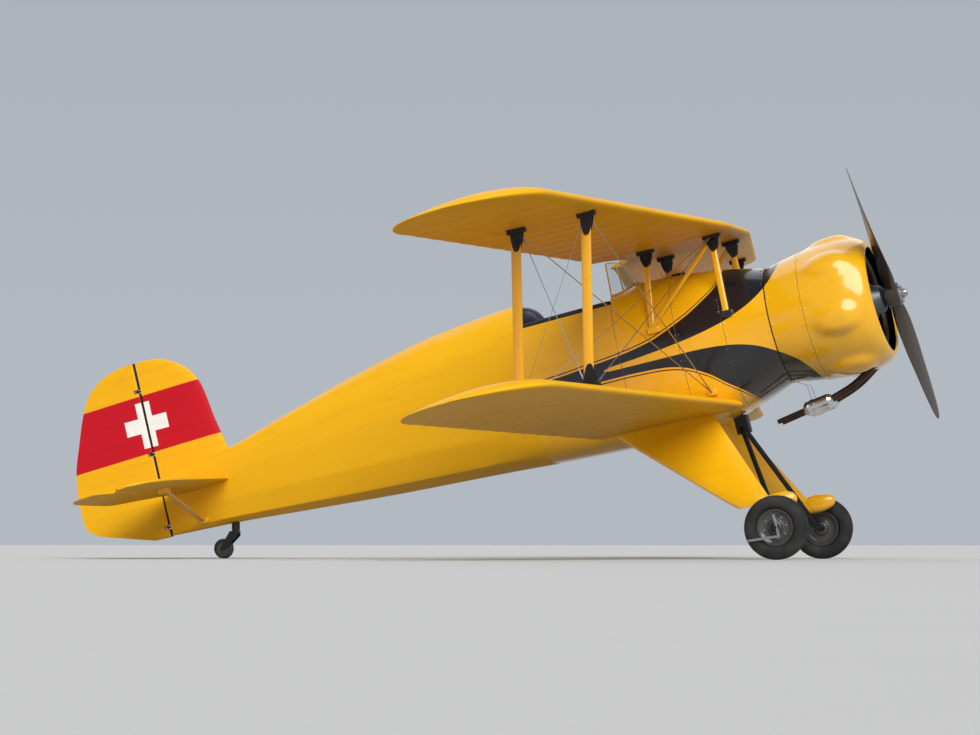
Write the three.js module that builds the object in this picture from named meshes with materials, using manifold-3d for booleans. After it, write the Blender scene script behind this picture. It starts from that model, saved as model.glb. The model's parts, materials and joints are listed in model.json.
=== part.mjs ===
// A single-seat aerobatic biplane of the 1930s, parked on its main wheels and tail wheel.
// Units are millimetres. Every piece is drawn in the aircraft's own datum: X forward from the
// propeller disc, Y to the left wing tip, Z up from the thrust line. The last group turns the
// datum nose-up to the ground attitude and puts the origin on the floor.
import * as THREE from 'three';
import { mergeVertices } from 'three/addons/utils/BufferGeometryUtils.js';
import Module from 'manifold-3d';

const wasm = await Module();
wasm.setup();

// Driving dimensions
const RAD = Math.PI / 180;
const SEAT_GAP = 0.3; // between pieces that rest on each other
const BORE_GAP = 0.9; // from a pin's radius to its bore's, both being many-sided
const BORE_SIDES = 16;
const CHORD = 980;
const SEMI_SPAN = 3300;
const TIP_START = 2870; // where the wing's outline begins to round
const SWEEP = Math.tan(11 * RAD);
const CENTRE_HALF = 330; // the centre section's half width
const UPPER_ROOT = CENTRE_HALF + SEAT_GAP;
const UPPER = { le: -910, z: 700, rise: Math.tan(3 * RAD), root: UPPER_ROOT, straight: CENTRE_HALF };
const LOWER = { le: -1070, z: -480, rise: Math.tan(3.5 * RAD), root: 250, straight: 0 };
const AIRFOIL = { thickness: 0.11, camber: 0.03, peak: 0.4, points: 9, edge: 3 };
const SPARS = [0.14, 0.61]; // front and rear spar, as shares of the chord
const STRUT_Y = 2150;
const STRUT = { chord: 66, thick: 26 };
const AILERON = { hinge: 0.75, inner: 1640, outer: 2790, nose: 27, gap: 8, pin: 7 };
const FIREWALL = -790;
const PANEL_X = -1830; // instrument panel frame
const SEAT_X = -2500; // frame behind the seat
const STERN_X = -5298;
const SILL_Z = 400;
const FLOOR_Z = -330;
const SKIN = 22; // cockpit wall
const CYLINDERS = { count: 7, x: -330, base: 130, neck: 285, head: 398, barrel: 60, radius: 74, port: 300 };
const FINS = { from: 172, pitch: 24, thick: 9, depth: 12 };
const COWL = { rear: -780, seat: 383, sides: 28, blister: [150, 60, 50], blisterX: -310, blisterR: 432 };
const EXHAUST = { ringX: -160, ringR: 300, tube: 25, pipe: 24, clearance: 5 };
const SHAFT = 30;
const PROPELLER = { boss: 80, back: -52, face: 34, rest: 37, pitch: 1300 };
const WHEEL = { x: -990, y: 750, z: -1340, radius: 210, axle: 22, sides: 28 };
const GEAR = { y: 630, z: -1160, x: -1075 };
const TAIL_PIVOT = { x: -4850, z: -405, post: 12, length: 30 };
const TAIL_WHEEL = { x: -4965, z: -510, radius: 70, half: 23, axle: 8, sides: 20 };
const HINGE = { nose: 24, gap: 8 }; // rudder and elevator: nose radius, and running gap ahead of it
const RUDDER_X = -5330;
const ELEVATOR = { x: -5200, z: -50, tube: 14 };

// The nose-up angle at which the flats of all three treads lie on one floor
const flatRadius = ({ radius, sides }) => radius * Math.cos(Math.PI / sides);
const WHEEL_BASE = Math.hypot(WHEEL.x - TAIL_WHEEL.x, WHEEL.z - TAIL_WHEEL.z);
const GROUND_ANGLE = Math.atan2(TAIL_WHEEL.z - WHEEL.z, WHEEL.x - TAIL_WHEEL.x)
  + Math.asin((flatRadius(WHEEL) - flatRadius(TAIL_WHEEL)) / WHEEL_BASE);

const FINISHES = {
  // name: [colour, roughness, metalness]
  fabric: ['#f2b90c', 0.42, 0.0],
  metal: ['#f4bb0a', 0.3, 0.0],
  strut: ['#e9ad10', 0.4, 0.0],
  wire: ['#9a9c9e', 0.35, 0.9],
  engine: ['#55565a', 0.5, 0.7],
  exhaust: ['#2c2a2a', 0.6, 0.6],
  propeller: ['#4a3a30', 0.35, 0.0],
  hub: ['#8c8e92', 0.3, 0.9],
  tyre: ['#1d1e20', 0.85, 0.0],
  rim: ['#8f8d80', 0.45, 0.6],
  leather: ['#1c2130', 0.6, 0.0],
  panel: ['#17181a', 0.5, 0.0],
  seat: ['#9aa0a4', 0.45, 0.7],
  glass: ['#dfe8ee', 0.05, 0.0],
};

// Every shape below is a closed solid, joined and cut as needed

function toSolid(geometry) {
  const bare = geometry.clone();
  bare.deleteAttribute('normal');
  bare.deleteAttribute('uv');
  const merged = mergeVertices(bare, 1e-3);
  const corners = merged.index.array;
  const point = (k) => new THREE.Vector3().fromBufferAttribute(merged.attributes.position, k);
  const triangles = [];
  let volume = 0;
  for (let k = 0; k < corners.length; k += 3) {
    const [a, b, c] = [corners[k], corners[k + 1], corners[k + 2]];
    if (a === b || b === c || a === c) continue;
    triangles.push([a, b, c]);
    volume += point(a).dot(point(b).cross(point(c)));
  }
  const triVerts = new Uint32Array(triangles.flatMap(([a, b, c]) => (volume > 0 ? [a, b, c] : [a, c, b])));
  const vertProperties = new Float32Array(merged.attributes.position.array);
  return new wasm.Manifold(new wasm.Mesh({ numProp: 3, vertProperties, triVerts }));
}

function toGeometry(solid) {
  const mesh = solid.getMesh();
  const geometry = new THREE.BufferGeometry();
  geometry.setAttribute('position', new THREE.BufferAttribute(new Float32Array(mesh.vertProperties), 3));
  geometry.setIndex(new THREE.BufferAttribute(new Uint32Array(mesh.triVerts), 1));
  return geometry;
}

const join = (...solids) => solids.reduce((whole, next) => whole.add(next));
const cut = (solid, ...tools) => tools.reduce((rest, tool) => rest.subtract(tool), solid);
const inFrame = (solid, matrix) => toSolid(toGeometry(solid).applyMatrix4(matrix));
const mirrored = (solid) => toSolid(toGeometry(solid).scale(1, -1, 1));
const turnedAboutX = (angle) => new THREE.Matrix4().makeRotationX(angle);

function box([x0, x1], [y0, y1], [z0, z1]) {
  const geometry = new THREE.BoxGeometry(x1 - x0, y1 - y0, z1 - z0);
  return toSolid(geometry.translate((x0 + x1) / 2, (y0 + y1) / 2, (z0 + z1) / 2));
}

// A round bar from point a to point b
function rod(a, b, radius, sides = 12) {
  const [from, to] = [new THREE.Vector3(...a), new THREE.Vector3(...b)];
  const along = to.clone().sub(from);
  const geometry = new THREE.CylinderGeometry(radius, radius, along.length(), sides);
  const upright = new THREE.Vector3(0, 1, 0);
  geometry.applyQuaternion(new THREE.Quaternion().setFromUnitVectors(upright, along.normalize()));
  const middle = from.add(to).multiplyScalar(0.5);
  return toSolid(geometry.translate(middle.x, middle.y, middle.z));
}

// A turned piece on the X or Y axis: profile points are [distance along the axis, radius]
function turned(profile, sides, axis = 'x', phase = 0) {
  const geometry = new THREE.LatheGeometry(profile.map(([d, r]) => new THREE.Vector2(r, d)), sides, phase);
  if (axis === 'x') geometry.rotateZ(-Math.PI / 2);
  return toSolid(geometry);
}

// A round tube swept along a smooth route
function sweep(route, radius, steps, sides = 4) {
  const section = new THREE.Shape();
  section.absarc(0, 0, radius, 0, 2 * Math.PI);
  const extrudePath = new THREE.CatmullRomCurve3(route.map((point) => new THREE.Vector3(...point)));
  return toSolid(new THREE.ExtrudeGeometry(section, { extrudePath, steps, curveSegments: sides }));
}

// A skin through rings of equal length, closed at each end by rungs across the ring
function loft(rings) {
  const count = rings[0].length;
  const index = [];
  const quad = (a, b, c, d) => index.push(a, b, c, a, c, d);
  for (let r = 0; r + 1 < rings.length; r++) {
    for (let k = 0; k < count; k++) {
      const next = (k + 1) % count;
      quad(r * count + k, r * count + next, (r + 1) * count + next, (r + 1) * count + k);
    }
  }
  const last = (rings.length - 1) * count;
  for (let k = 0; k < count / 2 - 1; k++) {
    quad(k, count - 1 - k, count - 2 - k, k + 1);
    quad(last + k, last + k + 1, last + count - 2 - k, last + count - 1 - k);
  }
  const geometry = new THREE.BufferGeometry();
  geometry.setAttribute('position', new THREE.Float32BufferAttribute(rings.flat(2), 3));
  geometry.setIndex(index);
  return toSolid(geometry);
}

// Blends the rows of a table at the value `at` of its first column, which falls or rises steadily
function blendRows(table, at) {
  const falling = table[0][0] > table[1][0];
  const past = table.findIndex((row) => (falling ? row[0] <= at : row[0] >= at));
  const k = past < 0 ? table.length - 1 : Math.max(1, past);
  const [a, b] = [table[k - 1], table[k]];
  const share = (at - a[0]) / (b[0] - a[0]);
  return a.map((value, column) => value + (b[column] - value) * share);
}

// Fuselage hull

const FUSELAGE = [
  // x, top, bottom, half width, waist height, top roundness, bottom roundness
  [-790, 392, -388, 386, 0, 2.0, 2.0],
  [-1100, 462, -490, 374, -20, 2.2, 2.9],
  [-1350, 495, -552, 373, -45, 2.3, 3.5],
  [-1600, 515, -562, 370, -60, 2.3, 3.6],
  [-1830, 528, -556, 365, -80, 2.3, 3.6],
  [-2160, 560, -540, 352, -80, 2.2, 3.4],
  [-2500, 588, -520, 335, -60, 2.1, 3.2],
  [-3075, 548, -486, 288, -40, 2.1, 3.0],
  [-3600, 455, -455, 233, -40, 2.2, 2.8],
  [-4280, 290, -402, 160, -50, 2.3, 2.8],
  [-4780, 158, -362, 104, -60, 2.4, 2.8],
  [-5298, 75, -335, 34, -60, 2.5, 2.8],
];
const HULL_POINTS = 24;

function hullRing(x, grow) {
  const [, top, bottom, half, waist, roundTop, roundBottom] = blendRows(FUSELAGE, x);
  const ring = [];
  for (let k = 0; k < HULL_POINTS; k++) {
    const angle = ((k + 0.5) / HULL_POINTS) * 2 * Math.PI - Math.PI / 2;
    const [c, s] = [Math.cos(angle), Math.sin(angle)];
    const power = 2 / (s > 0 ? roundTop : roundBottom);
    const reach = s > 0 ? top + grow - waist : waist - bottom + grow;
    const y = (half + grow) * Math.sign(c) * Math.abs(c) ** power;
    ring.push([x, y, waist + reach * Math.sign(s) * Math.abs(s) ** power]);
  }
  return ring;
}

function hull(from, to, grow = 0) {
  const between = FUSELAGE.map(([x]) => x).filter((x) => x < from - 1 && x > to + 1);
  return loft([from, ...between, to].map((x) => hullRing(x, grow)));
}

const hullSeat = hull(FIREWALL, STERN_X, SEAT_GAP);

// Wings

function camberLine(x) {
  const { camber, peak } = AIRFOIL;
  if (x < peak) return (camber / peak ** 2) * (2 * peak * x - x * x);
  return (camber / (1 - peak) ** 2) * (1 - 2 * peak + 2 * peak * x - x * x);
}

function halfThickness(x) {
  const series = 0.2969 * Math.sqrt(x) - 0.126 * x - 0.3516 * x ** 2 + 0.2843 * x ** 3 - 0.1036 * x ** 4;
  return 5 * AIRFOIL.thickness * series;
}

// Points [x, z] from the leading edge, going from the upper trailing edge round the nose to the lower one
function airfoil(chord, grow) {
  const { points, edge } = AIRFOIL;
  const side = (sign) => Array.from({ length: points }, (_, k) => {
    const x = (1 - Math.cos((Math.PI * (k + 1)) / points)) / 2;
    const z = (camberLine(x) + sign * halfThickness(x)) * chord + sign * (edge * x + grow);
    return [-x * chord - (k + 1 === points ? grow : 0), z];
  });
  return [...side(1).reverse(), [grow, 0], ...side(-1)];
}

const leadingEdge = (wing, y) => wing.le - (y - wing.straight) * SWEEP;
const chordHeight = (wing, y) => wing.z + (y - wing.straight) * wing.rise;

function wingRing(wing, y, grow) {
  const over = Math.max(0, (y - TIP_START) / (SEMI_SPAN - TIP_START));
  const share = Math.max(0.16, Math.sqrt(1 - over ** 2.2));
  const x = leadingEdge(wing, y) - CHORD * 0.52 * (1 - share);
  const z = chordHeight(wing, y);
  return airfoil(CHORD * share, grow).map(([dx, dz]) => [x + dx, y, z + dz * share ** 0.3]);
}

const TIP_SHARES = [0, 0.3, 0.55, 0.75, 0.88, 0.96, 1];

function wingPanel(wing, grow = 0) {
  const rounding = TIP_SHARES.map((share) => TIP_START + share * (SEMI_SPAN - TIP_START));
  return loft([wing.root - grow, ...rounding].map((y) => wingRing(wing, y, grow)));
}

// An aileron's own frame: origin at the hinge's inner end, Y along the hinge, X forward
function aileronFrame(wing) {
  const onHinge = (y) => new THREE.Vector3(
    leadingEdge(wing, y) - AILERON.hinge * CHORD,
    y,
    chordHeight(wing, y) + camberLine(AILERON.hinge) * CHORD,
  );
  const [from, to] = [onHinge(AILERON.inner), onHinge(AILERON.outer)];
  const along = to.clone().sub(from).normalize();
  const up = new THREE.Vector3(0, 0, 1).addScaledVector(along, -along.z).normalize();
  const forward = along.clone().cross(up);
  const matrix = new THREE.Matrix4().makeBasis(forward, along, up).setPosition(from);
  return { matrix, length: to.distanceTo(from) };
}

// Cuts the aileron's bay out of a wing panel, and makes the aileron in its own frame
function splitAileron(wing, panel) {
  const { matrix, length } = aileronFrame(wing);
  const { nose, gap, pin } = AILERON;
  const [depth, pinLength, play] = [400, 18, 1];
  const bay = box([-depth, nose + gap], [-gap, length + gap], [-depth, depth]);
  const bores = rod([0, -gap - pinLength, 0], [0, length + gap + pinLength, 0], pin + BORE_GAP, BORE_SIDES);
  const fixed = cut(panel, inFrame(join(bay, bores), matrix));
  const behind = box([-depth, 0], [0, length], [-depth, depth]);
  const blade = inFrame(panel, matrix.clone().invert()).intersect(behind);
  const tube = rod([0, 0, 0], [0, length, 0], nose, 16);
  const pins = rod([0, play - gap - pinLength, 0], [0, length + gap + pinLength - play, 0], pin, 12);
  return { fixed, aileron: join(blade, tube, pins), matrix };
}

// Flat-faced fittings that the struts and wires end on
const PAD = { length: 120, width: 50, depth: 60 };
const UNDER_SPAR = [56, 42]; // from the chord line down to the fitting's face, front and rear
const OVER_SPAR = [86, 84]; // and up, on the lower wing

function sparPoint(wing, y, spar, offset) {
  return [leadingEdge(wing, y) - SPARS[spar] * CHORD, y, chordHeight(wing, y) + offset];
}

const strutTops = [0, 1].map((spar) => sparPoint(UPPER, STRUT_Y, spar, -UNDER_SPAR[spar]));
const strutFeet = [0, 1].map((spar) => sparPoint(LOWER, STRUT_Y, spar, OVER_SPAR[spar]));

// A block with its flat face at the point given, and its body above (1) or below (-1) that face
function pad([x, y, z], side) {
  const [length, width] = [PAD.length / 2, PAD.width / 2];
  const reach = [z, z + side * PAD.depth].sort((a, b) => a - b);
  return box([x - length, x + length], [y - width, y + width], reach);
}

// A streamlined section in a level plane, blunt end forward
function strutRing([x, y, z], chord, thick, count = 10) {
  const ring = [];
  for (let k = 0; k < count; k++) {
    const angle = ((k + 0.5) / count) * 2 * Math.PI;
    const reach = Math.cos(angle) > 0 ? 0.38 : 0.62;
    ring.push([x + reach * chord * Math.cos(angle), y + 0.5 * thick * Math.sin(angle), z]);
  }
  return ring;
}

function strut([fx, fy, fz], [tx, ty, tz], chord = STRUT.chord, thick = STRUT.thick) {
  const ends = [[fx, fy, fz + SEAT_GAP], [tx, ty, tz - SEAT_GAP]];
  return loft(ends.map((end) => strutRing(end, chord, thick)));
}

// A bar whose ends are cut square to Y, so that they lie on the fittings' side faces
function crossBar(a, b, length, height = length, count = 8) {
  const ring = ([x, y, z]) => Array.from({ length: count }, (_, k) => {
    const angle = ((k + 0.5) / count) * 2 * Math.PI;
    return [x + (length / 2) * Math.cos(angle), y, z + (height / 2) * Math.sin(angle)];
  });
  return loft([ring(a), ring(b)]);
}

// Cabane: the struts between the fuselage and the centre section
const CABANE_Y = 290;
const CABANE_STRUT = { chord: 44, thick: 20 };
const cabaneTops = [0, 1].map((spar) => (
  [UPPER.le - SPARS[spar] * CHORD, CABANE_Y, UPPER.z - UNDER_SPAR[spar]]
));
const cabaneFeet = [[-1050, 366, 150], [-1560, 364, 170]];
const flyingFoot = [-1275, 374, -352];
const WIRE = 8;

function cabane() {
  const { chord, thick } = CABANE_STRUT;
  const bar = (foot, top) => strut(foot, top, chord, thick);
  return join(
    bar(cabaneFeet[0], cabaneTops[0]),
    bar(cabaneFeet[1], cabaneTops[1]),
    bar(cabaneFeet[1], cabaneTops[0]),
  );
}

// Two wires from one fitting to the side faces of the strut bay's front and rear fittings
function wirePair([x, y, z], ends, forward, up) {
  return join(...ends.map(([ex, ey, ez]) => {
    const end = [ex + forward, ey - PAD.width / 2 - SEAT_GAP, ez + up];
    return crossBar([x, y + SEAT_GAP, z], end, WIRE, WIRE, 6);
  }));
}

const flyingWires = () => wirePair(flyingFoot, strutTops, 0, 14);

// These pass ahead of the flying wires where the two cross
function landingWires() {
  const [x, y, z] = cabaneTops[0];
  return wirePair([x, y + PAD.width / 2, z + 14], strutFeet, 40, -10);
}

function centreSection() {
  const ends = [-CENTRE_HALF, CENTRE_HALF];
  const slab = loft(ends.map((y) => airfoil(CHORD, 0).map(([x, z]) => [UPPER.le + x, y, UPPER.z + z])));
  const notchX = UPPER.le - CHORD - 60;
  const notch = rod([notchX, 0, UPPER.z - 200], [notchX, 0, UPPER.z + 200], 240, 32);
  const pads = cabaneTops.flatMap(([x, y, z]) => [pad([x, y, z], 1), pad([x, -y, z], 1)]);
  return join(cut(slab, notch), ...pads);
}

const upperPads = () => strutTops.map((top) => pad(top, 1));
const lowerPads = () => strutFeet.map((foot) => pad(foot, -1));
const upperWing = () => splitAileron(UPPER, join(wingPanel(UPPER), ...upperPads()));
const lowerWing = () => splitAileron(LOWER, join(wingPanel(LOWER), ...lowerPads()));

// Cowl: a spun ring with a rocker blister over each cylinder

const COWL_OUTER = [
  // x, radius
  [-101, 352], [-90, 358], [-94, 380], [-125, 408], [-190, 436], [-300, 452],
  [-430, 448], [-600, 426], [-780, 392],
];
const COWL_INNER = [
  [-780, 383], [-755, 383], [-600, 417], [-430, 439], [-300, 443], [-190, 427], [-125, 399],
];
const PIPE_ROUTE = [
  // x, y, z
  [-165, 50, -296], [-195, 52, -372], [-262, 54, -436], [-400, 62, -516], [-570, 74, -572],
];
const PIPE_STEPS = 9;
const SILENCER = { front: [-550, 74, -570], rear: [-765, 74, -598], radius: 50 };
const TAIL_PIPE = { end: [-950, 74, -628], radius: 16 };

const cylinderAngles = Array.from({ length: CYLINDERS.count }, (_, k) => (k / CYLINDERS.count) * 360 * RAD);
const pipeRoute = (side) => PIPE_ROUTE.map(([x, y, z]) => [x, side * y, z]);
const tailPipe = (side, radius) => sweep(pipeRoute(side), radius, PIPE_STEPS);

function cowl() {
  const lip = COWL_OUTER[0];
  const inside = [[-900, 0], [-900, COWL.seat], ...COWL_INNER, lip, [0, lip[1]], [0, 0]];
  const outside = [[lip[0], 0], ...COWL_OUTER, [COWL.rear, 0]];
  const blister = new THREE.SphereGeometry(1, 10, 6).scale(...COWL.blister);
  const blisters = cylinderAngles.map((angle) => {
    const [y, z] = [-Math.sin(angle) * COWL.blisterR, Math.cos(angle) * COWL.blisterR];
    return toSolid(blister.clone().rotateX(angle).translate(COWL.blisterX, y, z));
  });
  const outlets = [1, -1].map((side) => tailPipe(side, EXHAUST.pipe + EXHAUST.clearance));
  return cut(join(turned(outside, COWL.sides), ...blisters), turned(inside, COWL.sides), ...outlets);
}

// A barrel and its head in one turned piece, with cooling fins all the way up
function finnedCylinder() {
  const { x, base, neck, head, barrel, radius } = CYLINDERS;
  const { from, pitch, thick, depth } = FINS;
  const profile = [[base, 0], [base, barrel - depth]];
  for (let d = from; d < head - thick; d += pitch) {
    const outer = d < neck ? barrel : radius;
    profile.push([d, outer - depth], [d, outer], [d + thick, outer], [d + thick, outer - depth]);
  }
  profile.push([head, radius - depth], [head, 0]);
  const upright = turnedAboutX(Math.PI / 2).setPosition(x, 0, 0);
  return inFrame(turned(profile, 10, 'y'), upright);
}

// Engine: the crankcase with its front cover, and seven air-cooled cylinders, each with its exhaust port
// on the front of the head
function engine() {
  const rear = FIREWALL + 50 + SEAT_GAP;
  const profile = [
    // x, radius
    [-64, 0], [-64, 62], [-76, 82], [-150, 108], [-215, 150], [-240, 165],
    [-425, 165], [-450, 140], [rear, 130], [rear, 0],
  ];
  const crankcase = cut(turned(profile, 20), rod([-150, 0, 0], [0, 0, 0], SHAFT + BORE_GAP, BORE_SIDES));
  const { x, radius, port } = CYLINDERS;
  const cylinder = join(finnedCylinder(), rod([x, 0, port], [x + radius + 16, 0, port], 27, 8));
  return join(crankcase, ...cylinderAngles.map((angle) => inFrame(cylinder, turnedAboutX(angle))));
}

// The can that each tail pipe runs into, and the thin pipe out of it
function silencer() {
  const { front, rear, radius } = SILENCER;
  return join(rod(front, rear, radius, 16), rod(rear, TAIL_PIPE.end, TAIL_PIPE.radius, 8));
}

// Exhaust: a collector ring ahead of the cylinders with a branch from each, and two tail pipes
function exhaust() {
  const { ringX, ringR, tube, pipe } = EXHAUST;
  const profile = [];
  for (let k = 0; k <= 6; k++) {
    const angle = (k / 6) * 2 * Math.PI;
    profile.push([ringX + tube * Math.cos(angle), ringR + tube * Math.sin(angle)]);
  }
  const portFace = CYLINDERS.x + CYLINDERS.radius + 16 + SEAT_GAP;
  const branch = rod([portFace, 0, CYLINDERS.port], [ringX, 0, CYLINDERS.port], 21, 8);
  const branches = cylinderAngles.map((angle) => inFrame(branch, turnedAboutX(angle)));
  const ends = [tailPipe(1, pipe), tailPipe(-1, pipe), silencer(), mirrored(silencer())];
  return join(turned(profile, COWL.sides), ...branches, ...ends);
}

// Propeller: two blades on a boss, and the steel hub with its shaft and nut

const BLADE = [
  // radius, chord, thickness
  [60, 84, 60],
  [140, 104, 54],
  [280, 142, 34],
  [480, 168, 23],
  [700, 160, 15],
  [880, 128, 10],
  [980, 84, 7],
  [1020, 36, 5],
];

// Right-handed: seen from the cockpit it turns clockwise, so the blade's front edge leads that way
function bladeRing([radius, chord, thick], middle) {
  const twist = Math.min(55 * RAD, Math.atan2(PROPELLER.pitch, 2 * Math.PI * radius));
  return Array.from({ length: 12 }, (_, k) => {
    const angle = ((k + 0.5) / 12) * 2 * Math.PI;
    const [along, across] = [(chord / 2) * Math.cos(angle), (thick / 2) * Math.sin(angle)];
    const x = middle + along * Math.sin(twist) + across * Math.cos(twist);
    return [x, across * Math.sin(twist) - along * Math.cos(twist), radius];
  });
}

function propellerBlades() {
  const { back, face, boss, rest } = PROPELLER;
  const blade = loft(BLADE.map((row) => bladeRing(row, (back + face) / 2)));
  const pair = join(rod([back, 0, 0], [face, 0, 0], boss, 20), blade, inFrame(blade, turnedAboutX(Math.PI)));
  const bored = cut(pair, rod([-200, 0, 0], [200, 0, 0], SHAFT + BORE_GAP, BORE_SIDES));
  return inFrame(bored, turnedAboutX(rest * RAD));
}

function propellerHub() {
  const face = PROPELLER.face + SEAT_GAP;
  const profile = [
    [-140, 0], [-140, SHAFT], [face, SHAFT], [face, 62], [face + 12, 62], [face + 12, 34],
    [face + 34, 34], [face + 40, 24], [face + 52, 20], [face + 52, 0],
  ];
  return inFrame(turned(profile, 20), turnedAboutX(PROPELLER.rest * RAD));
}

// Tail surfaces

const TAIL_SECTION = [
  // share of the chord, share of the half thickness
  [0, 0.25], [0.06, 0.62], [0.25, 0.95], [0.55, 1], [1, 0.85],
];
const FIN = [
  // z, leading edge, half thickness
  [20, -4740, 26],
  [180, -4775, 26],
  [390, -4820, 25],
  [640, -4862, 22],
  [760, -4925, 19],
  [840, -5020, 15],
  [885, -5120, 11],
  [900, -5200, 8],
];
const RUDDER = [
  // z, trailing edge
  [-338, -5440],
  [-300, -5560],
  [-255, -5700],
  [-205, -5850],
  [-130, -5925],
  [20, -5935],
  [230, -5912],
  [450, -5838],
  [660, -5752],
  [760, -5690],
  [840, -5590],
  [885, -5470],
  [900, -5390],
];
const TAILPLANE = [
  // y, leading edge, half thickness
  [0, -4780, 26],
  [600, -4838, 24],
  [930, -4885, 20],
  [1110, -4945, 16],
  [1200, -5025, 12],
  [1240, -5105, 8],
];
const ELEVATOR_PLAN = [
  // y, trailing edge
  [68, -5262],
  [110, -5335],
  [290, -5588],
  [420, -5602],
  [900, -5598],
  [1090, -5550],
  [1190, -5460],
  [1240, -5340],
];
const postX = (hinge) => hinge + HINGE.nose + HINGE.gap; // the fixed surface's rear face

function fixedRing(front, rear, half, place) {
  const side = (sign) => TAIL_SECTION.map(([share, thick]) => (
    place(front + (rear - front) * share, sign * half * thick)
  ));
  return [...side(1).reverse(), ...side(-1)];
}

// A hinged surface: round nose on the hinge, straight taper to the trailing edge
function hingedRing(hinge, trailing, place) {
  const edge = 3;
  const nose = Array.from({ length: 9 }, (_, k) => {
    const angle = Math.PI / 2 - (k / 8) * Math.PI;
    return place(hinge + HINGE.nose * Math.cos(angle), HINGE.nose * Math.sin(angle));
  });
  return [place(trailing, edge), ...nose, place(trailing, -edge)];
}

// Hinge lugs: a tongue from the fixed surface with an upright pin that the rudder turns on
const LUG = { height: 14, half: 8, pin: 6, reach: 26, room: 7 };
const RUDDER_LUGS = { fin: [250, 700], fuselage: [-270] };

function rudderLug(z) {
  const levels = [z - LUG.height / 2, z + LUG.height / 2];
  const tongue = box([RUDDER_X - LUG.half, postX(RUDDER_X) + 20], [-LUG.half, LUG.half], levels);
  return join(tongue, rod([RUDDER_X, 0, z - LUG.reach], [RUDDER_X, 0, z + LUG.reach], LUG.pin));
}

function lugRoom(z) {
  const half = LUG.height / 2 + LUG.room;
  const reach = LUG.reach + 1;
  const notch = box([RUDDER_X - 20, RUDDER_X + 60], [-60, 60], [z - half, z + half]);
  return join(notch, rod([RUDDER_X, 0, z - reach], [RUDDER_X, 0, z + reach], LUG.pin + BORE_GAP, BORE_SIDES));
}

function fin() {
  const post = postX(RUDDER_X);
  const blade = loft(FIN.map(([z, front, half]) => fixedRing(front, post, half, (x, y) => [x, y, z])));
  return join(cut(blade, hullSeat), ...RUDDER_LUGS.fin.map(rudderLug));
}

function rudder() {
  const blade = loft(RUDDER.map(([z, trailing]) => hingedRing(RUDDER_X, trailing, (x, y) => [x, y, z])));
  return cut(blade, ...[...RUDDER_LUGS.fin, ...RUDDER_LUGS.fuselage].map(lugRoom));
}

const TAIL_STRUT = { x: -5040, inner: 84, outer: 700, footZ: -292, depth: 34, half: 20 };

function tailplane(grow = 0) {
  const rows = [...TAILPLANE.slice(1).reverse().map(([y, ...rest]) => [-y, ...rest]), ...TAILPLANE];
  const rear = postX(ELEVATOR.x) - grow;
  const place = (y) => (x, z) => [x, y, ELEVATOR.z + z];
  return loft(rows.map(([y, front, half]) => fixedRing(front + grow, rear, half + 2 * grow, place(y))));
}

function tailplaneWithPads() {
  const { x, outer, depth, half } = TAIL_STRUT;
  const levels = [ELEVATOR.z - depth - 20, ELEVATOR.z];
  const block = box([x - 40, x + 40], [outer - half, outer + half], levels);
  return join(tailplane(), block, mirrored(block));
}

function elevator() {
  const place = (y) => (x, z) => [x, y, ELEVATOR.z + z];
  const half = loft(ELEVATOR_PLAN.map(([y, trailing]) => hingedRing(ELEVATOR.x, trailing, place(y))));
  const reach = ELEVATOR_PLAN[0][0] + 10;
  const tube = rod([ELEVATOR.x, -reach, ELEVATOR.z], [ELEVATOR.x, reach, ELEVATOR.z], ELEVATOR.tube, 16);
  return join(half, mirrored(half), tube);
}

function tailStrut() {
  const { x, inner, outer, footZ, depth, half } = TAIL_STRUT;
  const foot = [x, inner + SEAT_GAP, footZ];
  const top = [x, outer - half - SEAT_GAP, ELEVATOR.z - depth - 6];
  return crossBar(foot, top, 42, 16, 10);
}

// Fuselage pieces

const BRACKET = { x: -1200, half: 40, top: -520, bottom: -640, length: 90 };

function bothSides(build) {
  const solid = build();
  return [solid, mirrored(solid)];
}

const lowerWingSeats = bothSides(() => wingPanel(LOWER, SEAT_GAP));

function fuselageNose() {
  const ring = rod([FIREWALL - 20, 0, 0], [FIREWALL + 50, 0, 0], COWL.seat - SEAT_GAP, COWL.sides);
  const feet = cabaneFeet.map(([x, y, z]) => () => box([x - 40, x + 40], [280, y + 14], [z - 46, z]));
  const [ax, ay, az] = flyingFoot;
  const anchor = () => box([ax - 32, ax + 32], [300, ay], [az - 22, az + 22]);
  const { x, half, top, bottom, length } = BRACKET;
  const bracket = box([x - length / 2, x + length / 2], [-half, half], [bottom, top]);
  const whole = join(hull(FIREWALL, PANEL_X), ring, bracket, ...[...feet, anchor].flatMap(bothSides));
  return cut(whole, ...lowerWingSeats);
}

function fuselageCockpit() {
  const shell = hull(PANEL_X - SEAT_GAP, SEAT_X + SEAT_GAP);
  const aboveFloor = box([-3000, 0], [-600, 600], [FLOOR_Z, 900]);
  const room = hull(PANEL_X + 100, SEAT_X - 100, -SKIN).intersect(aboveFloor);
  const top = box([-3000, 0], [-600, 600], [SILL_Z, 900]);
  return cut(shell, room, top, ...lowerWingSeats);
}

function fuselageRear() {
  const reach = 200;
  const { x: hingeX, z: hingeZ, tube } = ELEVATOR;
  const bore = rod([hingeX, -reach, hingeZ], [hingeX, reach, hingeZ], tube + BORE_GAP, BORE_SIDES);
  const { x, inner, footZ } = TAIL_STRUT;
  const anchor = () => box([x - 34, x + 34], [30, inner], [footZ - 18, footZ + 18]);
  const whole = join(hull(SEAT_X, STERN_X), ...bothSides(anchor), ...RUDDER_LUGS.fuselage.map(rudderLug));
  return cut(whole, tailplane(SEAT_GAP), bore);
}

// Cockpit fittings

const COAMING = { radius: 15, inset: 14 };

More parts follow.
